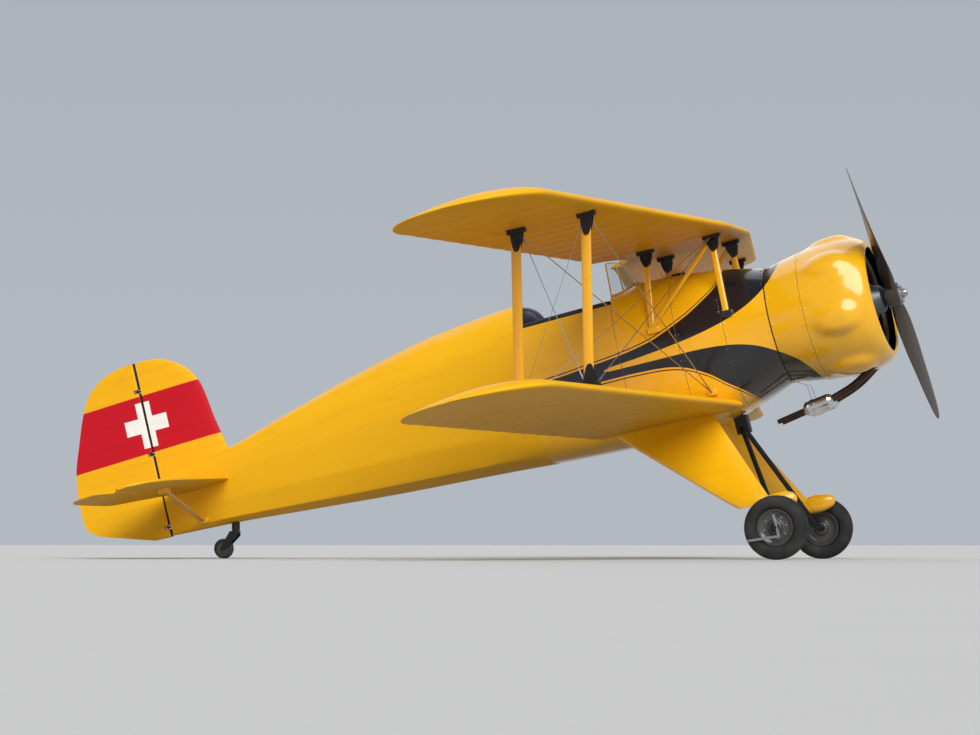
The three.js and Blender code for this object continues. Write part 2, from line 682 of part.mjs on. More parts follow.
function coaming() {
  const { radius, inset } = COAMING;
  const z = SILL_Z + radius + SEAT_GAP;
  const edge = (x) => {
    const [, top, , half, waist, round] = blendRows(FUSELAGE, x);
    return half * (1 - ((SILL_Z - waist) / (top - waist)) ** round) ** (1 / round) - inset;
  };
  const [front, rear] = [PANEL_X - radius - 2 * SEAT_GAP, SEAT_X + 2 * SEAT_GAP];
  const plan = [[rear, 1], [front, 1], [front, -1], [rear, -1]];
  const corners = plan.map(([x, side]) => [x, side * edge(x), z]);
  return join(...corners.slice(1).map((corner, k) => rod(corners[k], corner, radius, 10)));
}

function headrest() {
  const rows = [
    // forward of the frame, half width, bottom, top
    [SEAT_GAP, 105, 408, 572],
    [45, 103, 408, 556],
    [95, 95, 410, 520],
    [130, 80, 418, 470],
  ];
  const points = 16;
  return loft(rows.map(([d, half, bottom, top]) => Array.from({ length: points }, (_, k) => {
    const angle = ((k + 0.5) / points) * 2 * Math.PI - Math.PI / 2;
    const [c, s] = [Math.cos(angle), Math.sin(angle)].map((v) => Math.sign(v) * Math.abs(v) ** 0.6);
    return [SEAT_X + d, half * c, (top + bottom) / 2 + s * (top - bottom) / 2];
  })));
}

const SEAT = { front: -2070, back: -2440, half: 200, pan: -90, rim: 60, sheet: 18, backTop: 330 };

function seat() {
  const { front, back, half, pan, rim, sheet, backTop } = SEAT;
  const bucket = box([back, front], [-half, half], [pan - sheet, rim]);
  const hollow = box([back + sheet, front + 40], [-half + sheet, half - sheet], [pan, rim + 40]);
  const backrest = box([back, back + sheet], [-half, half], [pan, backTop]);
  const pedestal = box([back + 60, front - 60], [-120, 120], [FLOOR_Z + SEAT_GAP, pan - sheet + 1]);
  return join(cut(bucket, hollow), backrest, pedestal);
}

function instrumentPanel() {
  const face = PANEL_X - SEAT_GAP;
  const plate = box([face - 14, face], [-222, 222], [150, SILL_Z - 8]);
  const lower = box([face - 14, face], [-90, 90], [60, 151]);
  return join(plate, lower);
}

function controlStick() {
  const [x, bottom] = [-1985, FLOOR_Z + SEAT_GAP];
  return join(
    rod([x, 0, bottom], [x, 0, bottom + 40], 34, 12),
    rod([x, 0, bottom + 30], [x, 0, 60], 12, 10),
    rod([x, 0, 50], [x, 0, 170], 17, 10),
  );
}

// Windscreen: a raked sheet bent round the front of the cockpit, in a frame that sits on the deck

const SCREEN = { base: 430, top: 690, end: -1824, lip: 12, sheet: 4, frame: 12 };

function screenShell(thick) {
  const arc = (z, outset) => {
    const up = (z - SCREEN.base) / (SCREEN.top - SCREEN.base);
    const [length, half] = [215 - 155 * up + outset, 205 - 50 * up + outset];
    return Array.from({ length: 11 }, (_, k) => {
      const angle = (k / 10 - 0.5) * Math.PI;
      return [SCREEN.end + length * Math.cos(angle), half * Math.sin(angle), z];
    });
  };
  return loft([SCREEN.base, SCREEN.top].map((z) => [...arc(z, thick / 2), ...arc(z, -thick / 2).reverse()]));
}

function screenWindow(gap) {
  const { end, lip, base, top } = SCREEN;
  const opening = box([end + lip + gap, 0], [-400, 400], [base - 60, top - lip - gap]);
  return cut(opening, hull(FIREWALL, SEAT_X, lip + gap));
}

const windscreenFrame = () => cut(screenShell(SCREEN.frame), hullSeat, screenWindow(0));
const windscreenGlass = () => screenShell(SCREEN.sheet).intersect(screenWindow(SEAT_GAP));

// Landing gear

const LEG = [
  // z, front, rear, y, thickness
  [-440, -1330, -2030, 270, 96],
  [-530, -1300, -1940, 303, 92],
  [-1000, -1078, -1412, 545, 76],
  [-1100, -1030, -1300, 600, 84],
  [-1160, -1003, -1225, 630, 62],
];
const BOOT = { centre: [-965, 630, -1176], reach: [130, 44, 62] }; // rounded toe of the leg's fairing

// The short leg that comes out of the fairing and carries the wheel's stub
function axleLeg(grow) {
  const { x, z } = WHEEL;
  return loft([
    strutRing([GEAR.x, GEAR.y, GEAR.z - SEAT_GAP + grow], 66 + 2 * grow, 50 + 2 * grow),
    strutRing([x - 4, GEAR.y, z + 12], 60 + 2 * grow, 46 + 2 * grow),
  ]);
}

function gearLeg() {
  const rings = LEG.map(([z, front, rear, y, thick]) => {
    const chord = front - rear;
    return strutRing([front - 0.38 * chord, y, z], chord, thick, 14);
  });
  const boot = toSolid(new THREE.SphereGeometry(1, 12, 8).scale(...BOOT.reach).translate(...BOOT.centre));
  return cut(join(loft(rings), boot), hullSeat, ...lowerWingSeats, axleLeg(SEAT_GAP));
}

// The axle: its leg, the stub that the wheel turns on, and the half axle
function axle() {
  const { x, y, z, axle: radius } = WHEEL;
  const leg = axleLeg(0);
  const stub = rod([x, GEAR.y - 34, z], [x, y + 58, z], radius, 16);
  const collar = rod([x, y + 50, z], [x, y + 62, z], 31, 16);
  const half = crossBar([x, GEAR.y, z], [BRACKET.x, BRACKET.half + SEAT_GAP, BRACKET.bottom + 30], 34);
  return join(leg, stub, collar, half);
}

// Turned about Y so that a flat of the tread lies on the floor
const treadPhase = (sides) => GROUND_ANGLE + Math.PI / sides;

// A wheel's half section, mirrored to the whole and turned about its own axle
function wheelRing(half, { x, y = 0, z, sides }) {
  const other = half.map(([d, r]) => [-d, r]).reverse();
  const ring = turned([...half, ...other, half[0]], sides, 'y', treadPhase(sides));
  return inFrame(ring, new THREE.Matrix4().makeTranslation(x, y, z));
}

const TYRE_HALF = [
  // distance from the wheel's middle, radius
  [38, 120], [60, 136], [65, 166], [56, 192], [34, 207], [14, WHEEL.radius],
];
const RIM_HALF = [
  [49, WHEEL.axle + BORE_GAP], [49, 44], [22, 58], [26, 98], [42, 110], [42, 120 - SEAT_GAP],
];
const TAIL_WHEEL_HALF = [
  [18, TAIL_WHEEL.axle + BORE_GAP], [18, 30], [23, 44], [19, 60], [12, TAIL_WHEEL.radius],
];

const tyre = () => wheelRing(TYRE_HALF, WHEEL);
const wheelHub = () => wheelRing(RIM_HALF, WHEEL);
const tailWheel = () => wheelRing(TAIL_WHEEL_HALF, TAIL_WHEEL);

// Tail wheel: its leg and fork are drawn level, about the swivel post, which is upright when parked
const tailMatrix = new THREE.Matrix4()
  .makeRotationY(GROUND_ANGLE)
  .setPosition(TAIL_PIVOT.x, 0, TAIL_PIVOT.z);
const tailAxle = new THREE.Vector3(TAIL_WHEEL.x, 0, TAIL_WHEEL.z).applyMatrix4(tailMatrix.clone().invert());

function tailLeg() {
  const { post, length } = TAIL_PIVOT;
  const bore = rod([0, 0, -10], [0, 0, length + 2], post + BORE_GAP, BORE_SIDES);
  const leg = cut(rod([0, 0, 0], [0, 0, 90], 28, 16), bore);
  return cut(inFrame(leg, tailMatrix), hullSeat);
}

function tailFork() {
  const { half, axle: radius } = TAIL_WHEEL;
  const { x, z } = tailAxle;
  const [inner, outer] = [half + 5.5, half + 13];
  const crown = rod([0, 0, -20], [0, 0, -2 * SEAT_GAP], 27, 16);
  const bridge = box([-32, 22], [-outer, outer], [-24, -8]);
  const outline = new THREE.Shape();
  outline.moveTo(22, -8);
  outline.lineTo(-32, -8);
  outline.lineTo(x - 16, z + 4);
  outline.absarc(x, z, 17, Math.PI, 1.9 * Math.PI);
  outline.lineTo(22, -40);
  const cast = { depth: outer - inner, bevelEnabled: false, curveSegments: 6 };
  const plate = new THREE.ExtrudeGeometry(outline, cast);
  const arm = toSolid(plate.rotateX(Math.PI / 2).translate(0, outer, 0));
  const pin = rod([x, -outer, z], [x, outer, z], radius, 16);
  const post = rod([0, 0, -10], [0, 0, TAIL_PIVOT.length], TAIL_PIVOT.post, 16);
  return inFrame(join(crown, bridge, arm, mirrored(arm), pin, post), tailMatrix);
}

// The scene: each piece is a named mesh in the aircraft's datum

const datum = new THREE.Group();

function addPiece(name, finish, solid) {
  const [color, roughness, metalness] = FINISHES[finish];
  const material = new THREE.MeshStandardMaterial({ color, roughness, metalness });
  const geometry = toGeometry(solid);
  geometry.computeVertexNormals();
  const mesh = new THREE.Mesh(geometry, material);
  mesh.name = name;
  datum.add(mesh);
}

function addPair(name, finish, solid) {
  addPiece(`${name}_left`, finish, solid);
  addPiece(`${name}_right`, finish, mirrored(solid));
}

function addWing(name, { fixed, aileron, matrix }) {
  addPair(`${name}_wing`, 'fabric', fixed);
  addPair(`aileron_${name}`, 'fabric', inFrame(aileron, matrix));
}

addPiece('fuselage_nose', 'metal', fuselageNose());
addPiece('fuselage_cockpit', 'metal', fuselageCockpit());
addPiece('fuselage_rear', 'fabric', fuselageRear());
addPiece('cockpit_coaming', 'leather', coaming());
addPiece('headrest', 'leather', headrest());
addPiece('windscreen_frame', 'metal', windscreenFrame());
addPiece('windscreen_glass', 'glass', windscreenGlass());
addPiece('seat', 'seat', seat());
addPiece('instrument_panel', 'panel', instrumentPanel());
addPiece('control_stick', 'panel', controlStick());
addPiece('cowl', 'metal', cowl());
addPiece('engine', 'engine', engine());
addPiece('exhaust', 'exhaust', exhaust());
addPiece('wing_centre_section', 'fabric', centreSection());
addWing('upper', upperWing());
addWing('lower', lowerWing());
addPair('cabane', 'strut', cabane());
addPair('interplane_front', 'strut', strut(strutFeet[0], strutTops[0]));
addPair('interplane_rear', 'strut', strut(strutFeet[1], strutTops[1]));
addPair('flying_wires', 'wire', flyingWires());
addPair('landing_wires', 'wire', landingWires());
addPiece('fin', 'fabric', fin());
addPiece('rudder', 'fabric', rudder());
addPiece('tailplane', 'fabric', tailplaneWithPads());
addPiece('elevator', 'fabric', elevator());
addPair('tail_strut', 'strut', tailStrut());
addPair('gear_leg', 'metal', gearLeg());
addPair('axle', 'exhaust', axle());
addPair('tyre', 'tyre', tyre());
addPair('wheel_hub', 'rim', wheelHub());
addPiece('tail_leg', 'exhaust', tailLeg());
addPiece('tail_fork', 'exhaust', tailFork());
addPiece('tail_wheel', 'tyre', tailWheel());
addPiece('propeller_blades', 'propeller', propellerBlades());
addPiece('propeller_hub', 'hub', propellerHub());

datum.rotation.y = -GROUND_ANGLE;
const biplane = new THREE.Group();
biplane.add(datum);
biplane.updateMatrixWorld(true);
const bounds = new THREE.Box3().setFromObject(biplane, true);
datum.position.set(-(bounds.min.x + bounds.max.x) / 2, 0, -bounds.min.z);

export default biplane;
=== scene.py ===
# %% [markdown]
# # Dressing an aerobatic biplane
# The CAD model holds every piece of the aircraft at its true size and in its true place. This script loads
# it as a fixed frame and builds the skin, the fabric, the paint and the small fittings round it. It could
# all be drawn by hand in the viewport. It is written as code instead, because then each curve comes from
# the same few numbers as the CAD piece under it, and can be changed in one place.

# %% Load the frame
import json
import math

import bmesh
import bpy
import numpy as np
from mathutils import Matrix, Vector


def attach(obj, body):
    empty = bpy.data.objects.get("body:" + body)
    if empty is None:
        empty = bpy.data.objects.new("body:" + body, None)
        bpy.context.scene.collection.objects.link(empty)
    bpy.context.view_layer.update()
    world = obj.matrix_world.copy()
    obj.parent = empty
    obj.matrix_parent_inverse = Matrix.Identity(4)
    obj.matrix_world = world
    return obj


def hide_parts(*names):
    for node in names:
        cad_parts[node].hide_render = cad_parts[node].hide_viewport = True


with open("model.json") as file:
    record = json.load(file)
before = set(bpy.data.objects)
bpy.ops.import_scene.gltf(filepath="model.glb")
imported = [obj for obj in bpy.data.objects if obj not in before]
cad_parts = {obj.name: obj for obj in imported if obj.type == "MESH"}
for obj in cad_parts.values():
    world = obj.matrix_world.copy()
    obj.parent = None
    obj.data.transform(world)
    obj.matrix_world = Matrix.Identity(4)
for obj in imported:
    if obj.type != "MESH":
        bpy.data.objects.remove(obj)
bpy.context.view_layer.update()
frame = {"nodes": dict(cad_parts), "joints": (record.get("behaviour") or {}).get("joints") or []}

# %% [markdown]
# ## The aircraft's own axes
# The aircraft stands on its tail wheel, so its nose points up. A wing or a frame is far easier to draw level,
# with X forward from the propeller, Y to the left and Z up from the thrust line. The propeller's joint says
# how far the nose is raised, and one matrix then carries all that is drawn level into the parked attitude.

# %% Turn level drawings nose-up
spin = next(joint for joint in frame["joints"] if joint["name"] == "propeller_spin")
NOSE_UP = math.atan2(spin["axis"][2], spin["axis"][0])
LEVEL_TO_PARKED = Matrix.Translation(spin["pos_m"]) @ Matrix.Rotation(-NOSE_UP, 4, "Y")
print("nose up by", round(math.degrees(NOSE_UP), 2), "degrees")

# %% [markdown]
# ## Camera, floor and light
# The photograph was taken from far away with a long lens, a little ahead of the right wing and from slightly
# below. A long lens hardly shows perspective, so the near wing looks no larger than the far one. Here the
# camera stands at floor level, because the aircraft stands on the floor.

# %% Place the camera
def aim(thing, target):
    """Turns a camera or lamp towards a point."""
    thing.rotation_euler = (Vector(target) - thing.location).to_track_quat("-Z", "Y").to_euler()


def add_object(name, data):
    made = bpy.data.objects.new(name, data)
    bpy.context.scene.collection.objects.link(made)
    return made


DISTANCE, AZIMUTH, EYE_HEIGHT = 27.0, math.radians(16.2), 0.12
LOOK_AT = (0.02, 0, 1.3)
camera = add_object("camera", bpy.data.cameras.new("camera"))
camera.location = (DISTANCE * math.sin(AZIMUTH), -DISTANCE * math.cos(AZIMUTH), EYE_HEIGHT)
camera.data.lens = 146
camera.data.sensor_width = 36
camera.data.clip_end = 500
aim(camera, LOOK_AT)
bpy.context.scene.camera = camera
print("camera at", tuple(round(value, 2) for value in camera.location))

# %% [markdown]
# ### Light
# In a studio tent the light comes from a broad bright side and fades toward the far side. A distant lamp
# whose light is spread over a wide angle does that, and lights a large object evenly from end to end, which a
# lamp near it can't. The walls are brightest near the floor and darker overhead, so that the glossy paint
# shows a calm gradient instead of one flat tone. The walls are a shader too, so the two small functions that
# convert a colour and add a shader node come first.

# %% Colour and node helpers
def srgb(code, strength=1.0):
    """A hex colour as linear red, green, blue and alpha."""
    parts = [int(code[k:k + 2], 16) / 255 for k in (1, 3, 5)]
    return [*(strength * (v / 12.92 if v <= 0.04045 else ((v + 0.055) / 1.055)**2.4) for v in parts), 1]


def add_node(tree, kind, sockets=None, **settings):
    """Adds one node. A socket's value may be a number, a colour, a socket or another node."""
    made = tree.nodes.new("ShaderNode" + kind)
    for name, value in settings.items():
        setattr(made, name, value)
    for key, value in (sockets or {}).items():
        if isinstance(value, bpy.types.Node):
            value = value.outputs[0]
        if isinstance(value, bpy.types.NodeSocket):
            tree.links.new(value, made.inputs[key])
        else:
            made.inputs[key].default_value = value
    return made


print("mid grey in linear light:", round(srgb("#808080")[0], 3))

# %% Light it softly
def add_lamp(name, direction, strength, spread):
    """A distant lamp. Its light comes from a direction and is spread over an angle in degrees."""
    lamp = add_object(name, bpy.data.lights.new(name, "SUN"))
    lamp.data.energy, lamp.data.angle = strength, math.radians(spread)
    lamp.location = Vector(direction).normalized() * 20
    aim(lamp, (0, 0, 0))


add_lamp("key", (0.60, -1.0, 1.05), 3.0, 48)
add_lamp("rim", (-0.7, 0.9, 0.8), 0.9, 70)
bpy.context.scene.view_settings.view_transform = "Standard"
world = bpy.data.worlds.new("studio")
bpy.context.scene.world = world
world.use_nodes = True
tree = world.node_tree
tree.nodes.clear()
direction = add_node(tree, "TexCoord").outputs["Generated"]
height = add_node(tree, "SeparateXYZ", {"Vector": direction}).outputs["Z"]
climb = add_node(tree, "MapRange", {"Value": height, "From Min": 0.05, "From Max": 0.75})
walls = add_node(tree, "MixRGB", {"Fac": climb, "Color1": srgb("#B3B9C0"), "Color2": srgb("#6A717B")})
add_node(tree, "OutputWorld", {"Surface": add_node(tree, "Background", {"Color": walls})})
print("two lamps and pale walls")

# %% [markdown]
# ## Shapes as points and faces
# Nearly everything on an aircraft is a lofted skin, a turned part or a tube along a line. Blender can draw
# these with curves and modifiers. Plain lists of points do the same here and keep the numbers in view, so
# a shape is a pair: an array of points and a list of faces that name them.

# %% Lofts and turned parts
def full_turn(count, start=0.0):
    """Even angles round a circle. start is a share of one step."""
    return (np.arange(count) + start) / count * 2 * np.pi


def loft(rings, ends=True, around=False):
    """A skin through rings of equal length, with flat ends, or joined back to its first ring."""
    rings = np.asarray(rings, float)
    rows, count = rings.shape[:2]
    first = np.arange(rows if around else rows - 1)[:, None] * count
    start = np.arange(count)[None, :]
    after = (start + 1) % count
    above = (first + count) % (rows * count)
    quads = np.stack([first + start, first + after, above + after, above + start], -1).reshape(-1, 4)
    faces = [tuple(quad) for quad in quads.tolist()]
    if ends and not around:
        faces += [tuple(range(count))[::-1], tuple((rows - 1) * count + k for k in range(count))]
    return rings.reshape(-1, 3), faces


def turned(profile, sides=64, around=False):
    """A turned part on the X axis: profile rows are distance along X and radius."""
    angles = full_turn(sides)
    circle = np.stack([np.zeros(sides), np.cos(angles), np.sin(angles)], 1)
    return loft([circle * radius + [along, 0, 0] for along, radius in profile], around=around)


def bar(start, end, radius, sides=24):
    """A plain round bar on the X axis."""
    return turned([(start, 0), (start, radius), (end, radius), (end, 0)], sides)


def hoop(x, radius, thick, points, sides):
    """A ring of round bar about the X axis."""
    rows = [(x + thick * math.cos(angle), radius + thick * math.sin(angle)) for angle in full_turn(points)]
    return turned(rows, sides, around=True)


print("a plain bar has", len(bar(0, 1, 0.1)[1]), "faces")

# %% Lines, tubes and straps
def smooth_line(points, per_span=8):
    """A line that passes smoothly through the points given."""
    p = np.asarray(points, float)
    p = np.vstack([2 * p[0] - p[1], p, 2 * p[-1] - p[-2]])
    t = np.linspace(0, 1, per_span, endpoint=False)[:, None]
    spans = []
    for a, b, c, d in zip(p[:-3], p[1:-2], p[2:-1], p[3:]):
        spans.append(0.5 * (2 * b + (c - a) * t + (2 * a - 5 * b + 4 * c - d) * t**2
                            + (3 * b - a - 3 * c + d) * t**3))
    return np.vstack([*spans, p[-2][None]])


def directions(line):
    """The direction of a line at each of its points."""
    along = np.gradient(np.asarray(line, float), axis=0)
    return along / np.linalg.norm(along, axis=1)[:, None]


def sweep(line, along, radii, sides, flat=1.0):
    """A skin of rings, one for each point, square to the direction there."""
    side = np.cross(along[0], [0.0, 0.0, 1.0] if abs(along[0][2]) < 0.9 else [0.0, 1.0, 0.0])
    angles = full_turn(sides)[:, None]
    rings = []
    for centre, direction, reach in zip(line, along, radii):
        side = side - direction * (side @ direction)
        side /= np.linalg.norm(side)
        up = np.cross(side, direction)
        rings.append(centre + reach * (np.cos(angles) * side + flat * np.sin(angles) * up))
    return loft(rings)


def tube(line, radius, sides=16, flat=1.0):
    """A tube along a line. radius may be one number or one for each point; flat below 1 makes it oval."""
    return sweep(line, directions(line), np.broadcast_to(radius, len(line)), sides, flat)


def ribbon(line, width_way, width=0.045, thick=0.0026):
    """A flat strap along a line, its width lying in the given direction."""
    line = smooth_line(line, 6)
    along = directions(line)
    across = np.asarray(width_way, float) - along * (along @ width_way)[:, None]
    across *= (width / 2 / np.linalg.norm(across, axis=1))[:, None]
    up = np.cross(along, across)
    up *= (thick / 2 / np.linalg.norm(up, axis=1))[:, None]
    return loft([[p + a + u, p - a + u, p - a - u, p + a - u] for p, a, u in zip(line, across, up)])


print("a smooth line through 3 points has", len(smooth_line([(0, 0, 0), (1, 0, 0), (2, 1, 0)])), "points")

# %% Blocks, copies and mirror images
def block(low, high):
    """A box between two corners. add_piece rounds its edges."""
    (x0, y0, z0), (x1, y1, z1) = low, high
    ring = [(x0, y0), (x1, y0), (x1, y1), (x0, y1)]
    return loft([[(x, y, z) for x, y in ring] for z in (z0, z1)])


def placed(shape, matrix):
    points, faces = shape
    turn = np.array(matrix.to_3x3())
    return points @ turn.T + np.array(matrix.to_translation()), faces


def mirrored(shape):
    points, faces = shape
    return points * [1, -1, 1], [face[::-1] for face in faces]


def together(*shapes):
    points, faces, start = [], [], 0
    for some_points, some_faces in shapes:
        points.append(np.asarray(some_points, float))
        faces += [tuple(k + start for k in face) for face in some_faces]
        start += len(some_points)
    return np.vstack(points), faces


def both_sides(shape):
    return together(shape, mirrored(shape))


SIDES = (("left", lambda shape: shape), ("right", mirrored))
print("shape tools ready")

# %% [markdown]
# ### Where a part goes
# A turned part or a bar is drawn on the X axis, which is the simplest place for it. A matrix then moves it,
# points it across the aircraft or upright, or repeats it round the engine's axis.

# %% Matrices and rings of parts
ACROSS = Matrix.Rotation(math.pi / 2, 4, "Z")
UPRIGHT = Matrix.Rotation(-math.pi / 2, 4, "Y")


def move(x, y, z):
    return Matrix.Translation((x, y, z))


def about_x(angle):
    return Matrix.Rotation(angle, 4, "X")


def pointing(place, direction):
    """Starts a part at a place and points it in a direction."""
    return move(*place) @ Vector(direction).to_track_quat("X", "Z").to_matrix().to_4x4()


def ring_of(shape, count, start=0.0):
    """Copies of a shape at even steps about the X axis."""
    return together(*(placed(shape, about_x(angle)) for angle in full_turn(count, start)))


print("a bar set upright points to", [round(value) for value in UPRIGHT @ Vector((1, 0, 0))])

# %% [markdown]
# ## Tables and fair curves
# A shipwright calls a curve fair when it has no bumps between the stations that were measured. Each table
# below gives a few stations, and this reader draws a fair curve through them that never overshoots.

# %% Read a table along a fair curve
def fair(rows, at):
    """Values of a table at other stations. Its first column is the station."""
    rows = np.array(sorted(rows), float)
    x, y = rows[:, 0], rows[:, 1:]
    step = np.diff(x)[:, None]
    slope = np.diff(y, axis=0) / step
    tangent = np.vstack([slope[:1], np.zeros_like(slope[1:]), slope[-1:]])
    before, after = slope[:-1], slope[1:]
    agree = before * after > 0
    h0, h1 = step[:-1], step[1:]
    with np.errstate(all="ignore"):
        blend = 3 * (h0 + h1) / ((2 * h1 + h0) / before + (h1 + 2 * h0) / after)
    tangent[1:-1] = np.where(agree, blend, 0)
    at = np.atleast_1d(at)
    k = np.clip(np.searchsorted(x, at, side="right") - 1, 0, len(x) - 2)
    h = step[k]
    t = ((at - x[k])[:, None]) / h
    return (y[k] * (1 + 2 * t) * (1 - t)**2 + tangent[k] * h * t * (1 - t)**2
            + y[k + 1] * t**2 * (3 - 2 * t) + tangent[k + 1] * h * t**2 * (t - 1))


def ease(value, low, high):
    """0 below low, 1 above high, and a smooth rise between."""
    t = np.clip((np.asarray(value, float) - low) / (high - low), 0, 1)
    return t * t * (3 - 2 * t)


print("fair curve through 3 points at 0.5:", fair([(0, 0), (1, 1), (2, 1)], 0.5)[0])

# %% [markdown]
# ## From a shape to a piece
# A piece is one object with a finish, and it moves with one body of the CAD model. Edges sharper than a set
# angle stay crisp and the rest are shaded smooth. A machined or folded edge also gets a small bevel, because
# a real edge is never perfectly sharp and the bevel catches the light.

# %% Make a piece
def new_mesh(name, shape):
    """A mesh in the parked attitude, from a shape that is drawn level."""
    points, faces = placed(shape, LEVEL_TO_PARKED)
    mesh = bpy.data.meshes.new(name)
    mesh.from_pydata(points.tolist(), [], faces)
    shell = bmesh.new()
    shell.from_mesh(mesh)
    bmesh.ops.remove_doubles(shell, verts=shell.verts, dist=2e-6)
    bmesh.ops.recalc_face_normals(shell, faces=shell.faces)
    shell.to_mesh(mesh)
    shell.free()
    return mesh


def shade(piece, soft):
    piece.data.polygons.foreach_set("use_smooth", [True] * len(piece.data.polygons))
    piece.data.set_sharp_from_angle(angle=math.radians(soft))


def round_edges(piece, width):
    edge = piece.modifiers.new("edge", "BEVEL")
    edge.width, edge.segments, edge.angle_limit = width, 2, math.radians(40)


def settle(piece, body, replaces):
    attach(piece, body)
    if replaces:
        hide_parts(*([replaces] if isinstance(replaces, str) else replaces))


def add_piece(name, shape, material, replaces=(), body="airframe", soft=32, bevel=0.0):
    piece = add_object(name, new_mesh(name, shape))
    piece.data.materials.append(material)
    shade(piece, soft)
    if bevel:
        round_edges(piece, bevel)
    settle(piece, body, replaces)
    return piece


# %% Cut, mirror and repaint pieces
def baked(piece, modifier):
    """The mesh that a modifier gives. The modifier itself goes."""
    bpy.context.view_layer.update()
    seen = piece.evaluated_get(bpy.context.evaluated_depsgraph_get())
    done = bpy.data.meshes.new_from_object(seen)
    piece.modifiers.remove(modifier)
    return done


def carve(piece, shape, soft=32, keep=False):
    """Cuts a shape drawn level out of a piece, or keeps only what is inside it."""
    tool = add_object("tool", new_mesh("tool", shape))
    cutter = piece.modifiers.new("cut", "BOOLEAN")
    cutter.object, cutter.solver = tool, "EXACT"
    cutter.operation = "INTERSECT" if keep else "DIFFERENCE"
    old, piece.data = piece.data, baked(piece, cutter)
    piece.data.name = old.name
    bpy.data.meshes.remove(old)
    bpy.data.objects.remove(tool)
    shade(piece, soft)


def mirror_piece(piece, name, replaces, body="airframe"):
    """The same piece for the other side."""
    mesh = piece.data.copy()
    mesh.transform(Matrix.Scale(-1, 4, (0, 1, 0)))
    mesh.flip_normals()
    settle(add_object(name, mesh), body, replaces)


def repaint(piece, material, wanted):
    """Gives a second finish to the faces whose level centre and normal are wanted."""
    piece.data.materials.append(material)
    index = len(piece.data.materials) - 1
    to_level = LEVEL_TO_PARKED.inverted()
    turn = to_level.to_3x3()
    for face in piece.data.polygons:
        if wanted(to_level @ face.center, turn @ face.normal):
            face.material_index = index


print("piece tools ready")

# %% [markdown]
# ## Finishes
# Each finish is a small tree of shader nodes that ends in the one principled shader. Its patterns take their
# scale from a size in millimetres. They read the object's own coordinates, turned back to level, so paint
# stays on a piece as it moves.

# %% Start a material
def new_material(name):
    """An empty material, with the level coordinates that its patterns are drawn in."""
    material = bpy.data.materials.new(name)
    material.use_nodes = True
    tree = material.node_tree
    tree.nodes.clear()
    own = add_node(tree, "TexCoord").outputs["Object"]
    level = add_node(tree, "Mapping", {
        "Vector": own, "Location": LEVEL_TO_PARKED.to_translation(), "Rotation": (0, -NOSE_UP, 0),
    }, vector_type="TEXTURE")
    return material, tree, level


print("yellow in linear light:", [round(v, 3) for v in srgb("#F5B40E")])

# %% [markdown]
# ### The paint scheme
# The aircraft is golden yellow. A near-black scallop sweeps back from the cowl along each side, with a yellow
# flare inside it and a fine line just outside it. It could be cut into the mesh, but then the mesh would have
# to follow it. Float curves in the shader draw it instead: each one gives, for a height, how far forward the
# colour's edge is, so the edge is sharp at any distance. The fin and rudder carry a red band with a white
# cross, drawn with plain comparisons.

# %% The scallop
YELLOW, NIGHT, RED, WHITE = "#F5B40E", "#10131C", "#C60D21", "#F4F3EE"
SCALLOP = [
    # height, how far forward the dark colour begins
    (-0.62, -0.97), (-0.48, -1.005), (-0.42, -1.04), (-0.313, -1.166), (-0.207, -1.30), (-0.128, -1.48),
    (-0.10, -1.755), (-0.068, -2.86), (-0.046, -2.86), (0.01, -2.20), (0.071, -1.645), (0.123, -1.48),
    (0.243, -1.23), (0.375, -1.08), (0.55, -1.11),
]
FLARE = [
    (-0.62, -0.56), (-0.34, -0.62), (-0.18, -0.81), (-0.10, -0.986), (-0.061, -1.207), (-0.050, -1.48),
    (-0.040, -1.95), (-0.028, -1.95), (-0.009, -1.755), (0.017, -1.48), (0.058, -1.207), (0.11, -1.015),
    (0.217, -0.81), (0.40, -0.67), (0.55, -0.62),
]
SCALLOP_AXIS = -0.057
REACH = (-3.0, -0.4)
FINE_LINE = (0.013, 0.021)


def forward_of(tree, x, z, rows):
    """1 where a point lies ahead of the edge that the rows draw, and 0 behind it."""
    low, high = rows[0][0], rows[-1][0]
    share = add_node(tree, "MapRange", {"Value": z, "From Min": low, "From Max": high})
    curve = add_node(tree, "FloatCurve", {"Value": share})
    line = curve.mapping.curves[0]
    spots = [((h - low) / (high - low), (f - REACH[0]) / (REACH[1] - REACH[0])) for h, f in rows]
    line.points[0].location, line.points[1].location = spots[0], spots[-1]
    for spot in spots[1:-1]:
        line.points.new(*spot)
    curve.mapping.update()
    edge = add_node(tree, "MapRange", {"Value": curve, "To Min": REACH[0], "To Max": REACH[1]})
    ahead = add_node(tree, "Math", {0: x, 1: edge}, operation="SUBTRACT")
    return add_node(tree, "MapRange", {"Value": ahead, "From Min": -0.0015, "From Max": 0.0015})


def scallops(tree, x, y, z, under):
    """Lays the dark scallop, its fine outer line and the flare over a colour."""
    outward = add_node(tree, "Math", {0: z, 1: -SCALLOP_AXIS}, operation="ADD")
    outward = add_node(tree, "Math", {0: outward}, operation="SIGN")
    fields = []
    for shift in (0.0, *FINE_LINE):
        nearer = add_node(tree, "Math", {0: outward, 1: -shift, 2: z}, operation="MULTIPLY_ADD")
        fields.append(forward_of(tree, x, nearer, SCALLOP))
    line = add_node(tree, "Math", {0: fields[2], 1: fields[1]}, operation="SUBTRACT", use_clamp=True)
    dark = add_node(tree, "Math", {0: fields[0], 1: line}, operation="MAXIMUM")
    flare = forward_of(tree, x, z, FLARE)
    dark = add_node(tree, "Math", {0: dark, 1: flare}, operation="SUBTRACT", use_clamp=True)
    return add_node(tree, "MixRGB", {"Fac": dark, "Color1": under, "Color2": srgb(NIGHT)})


print("scallop drawn through", len(SCALLOP), "points")

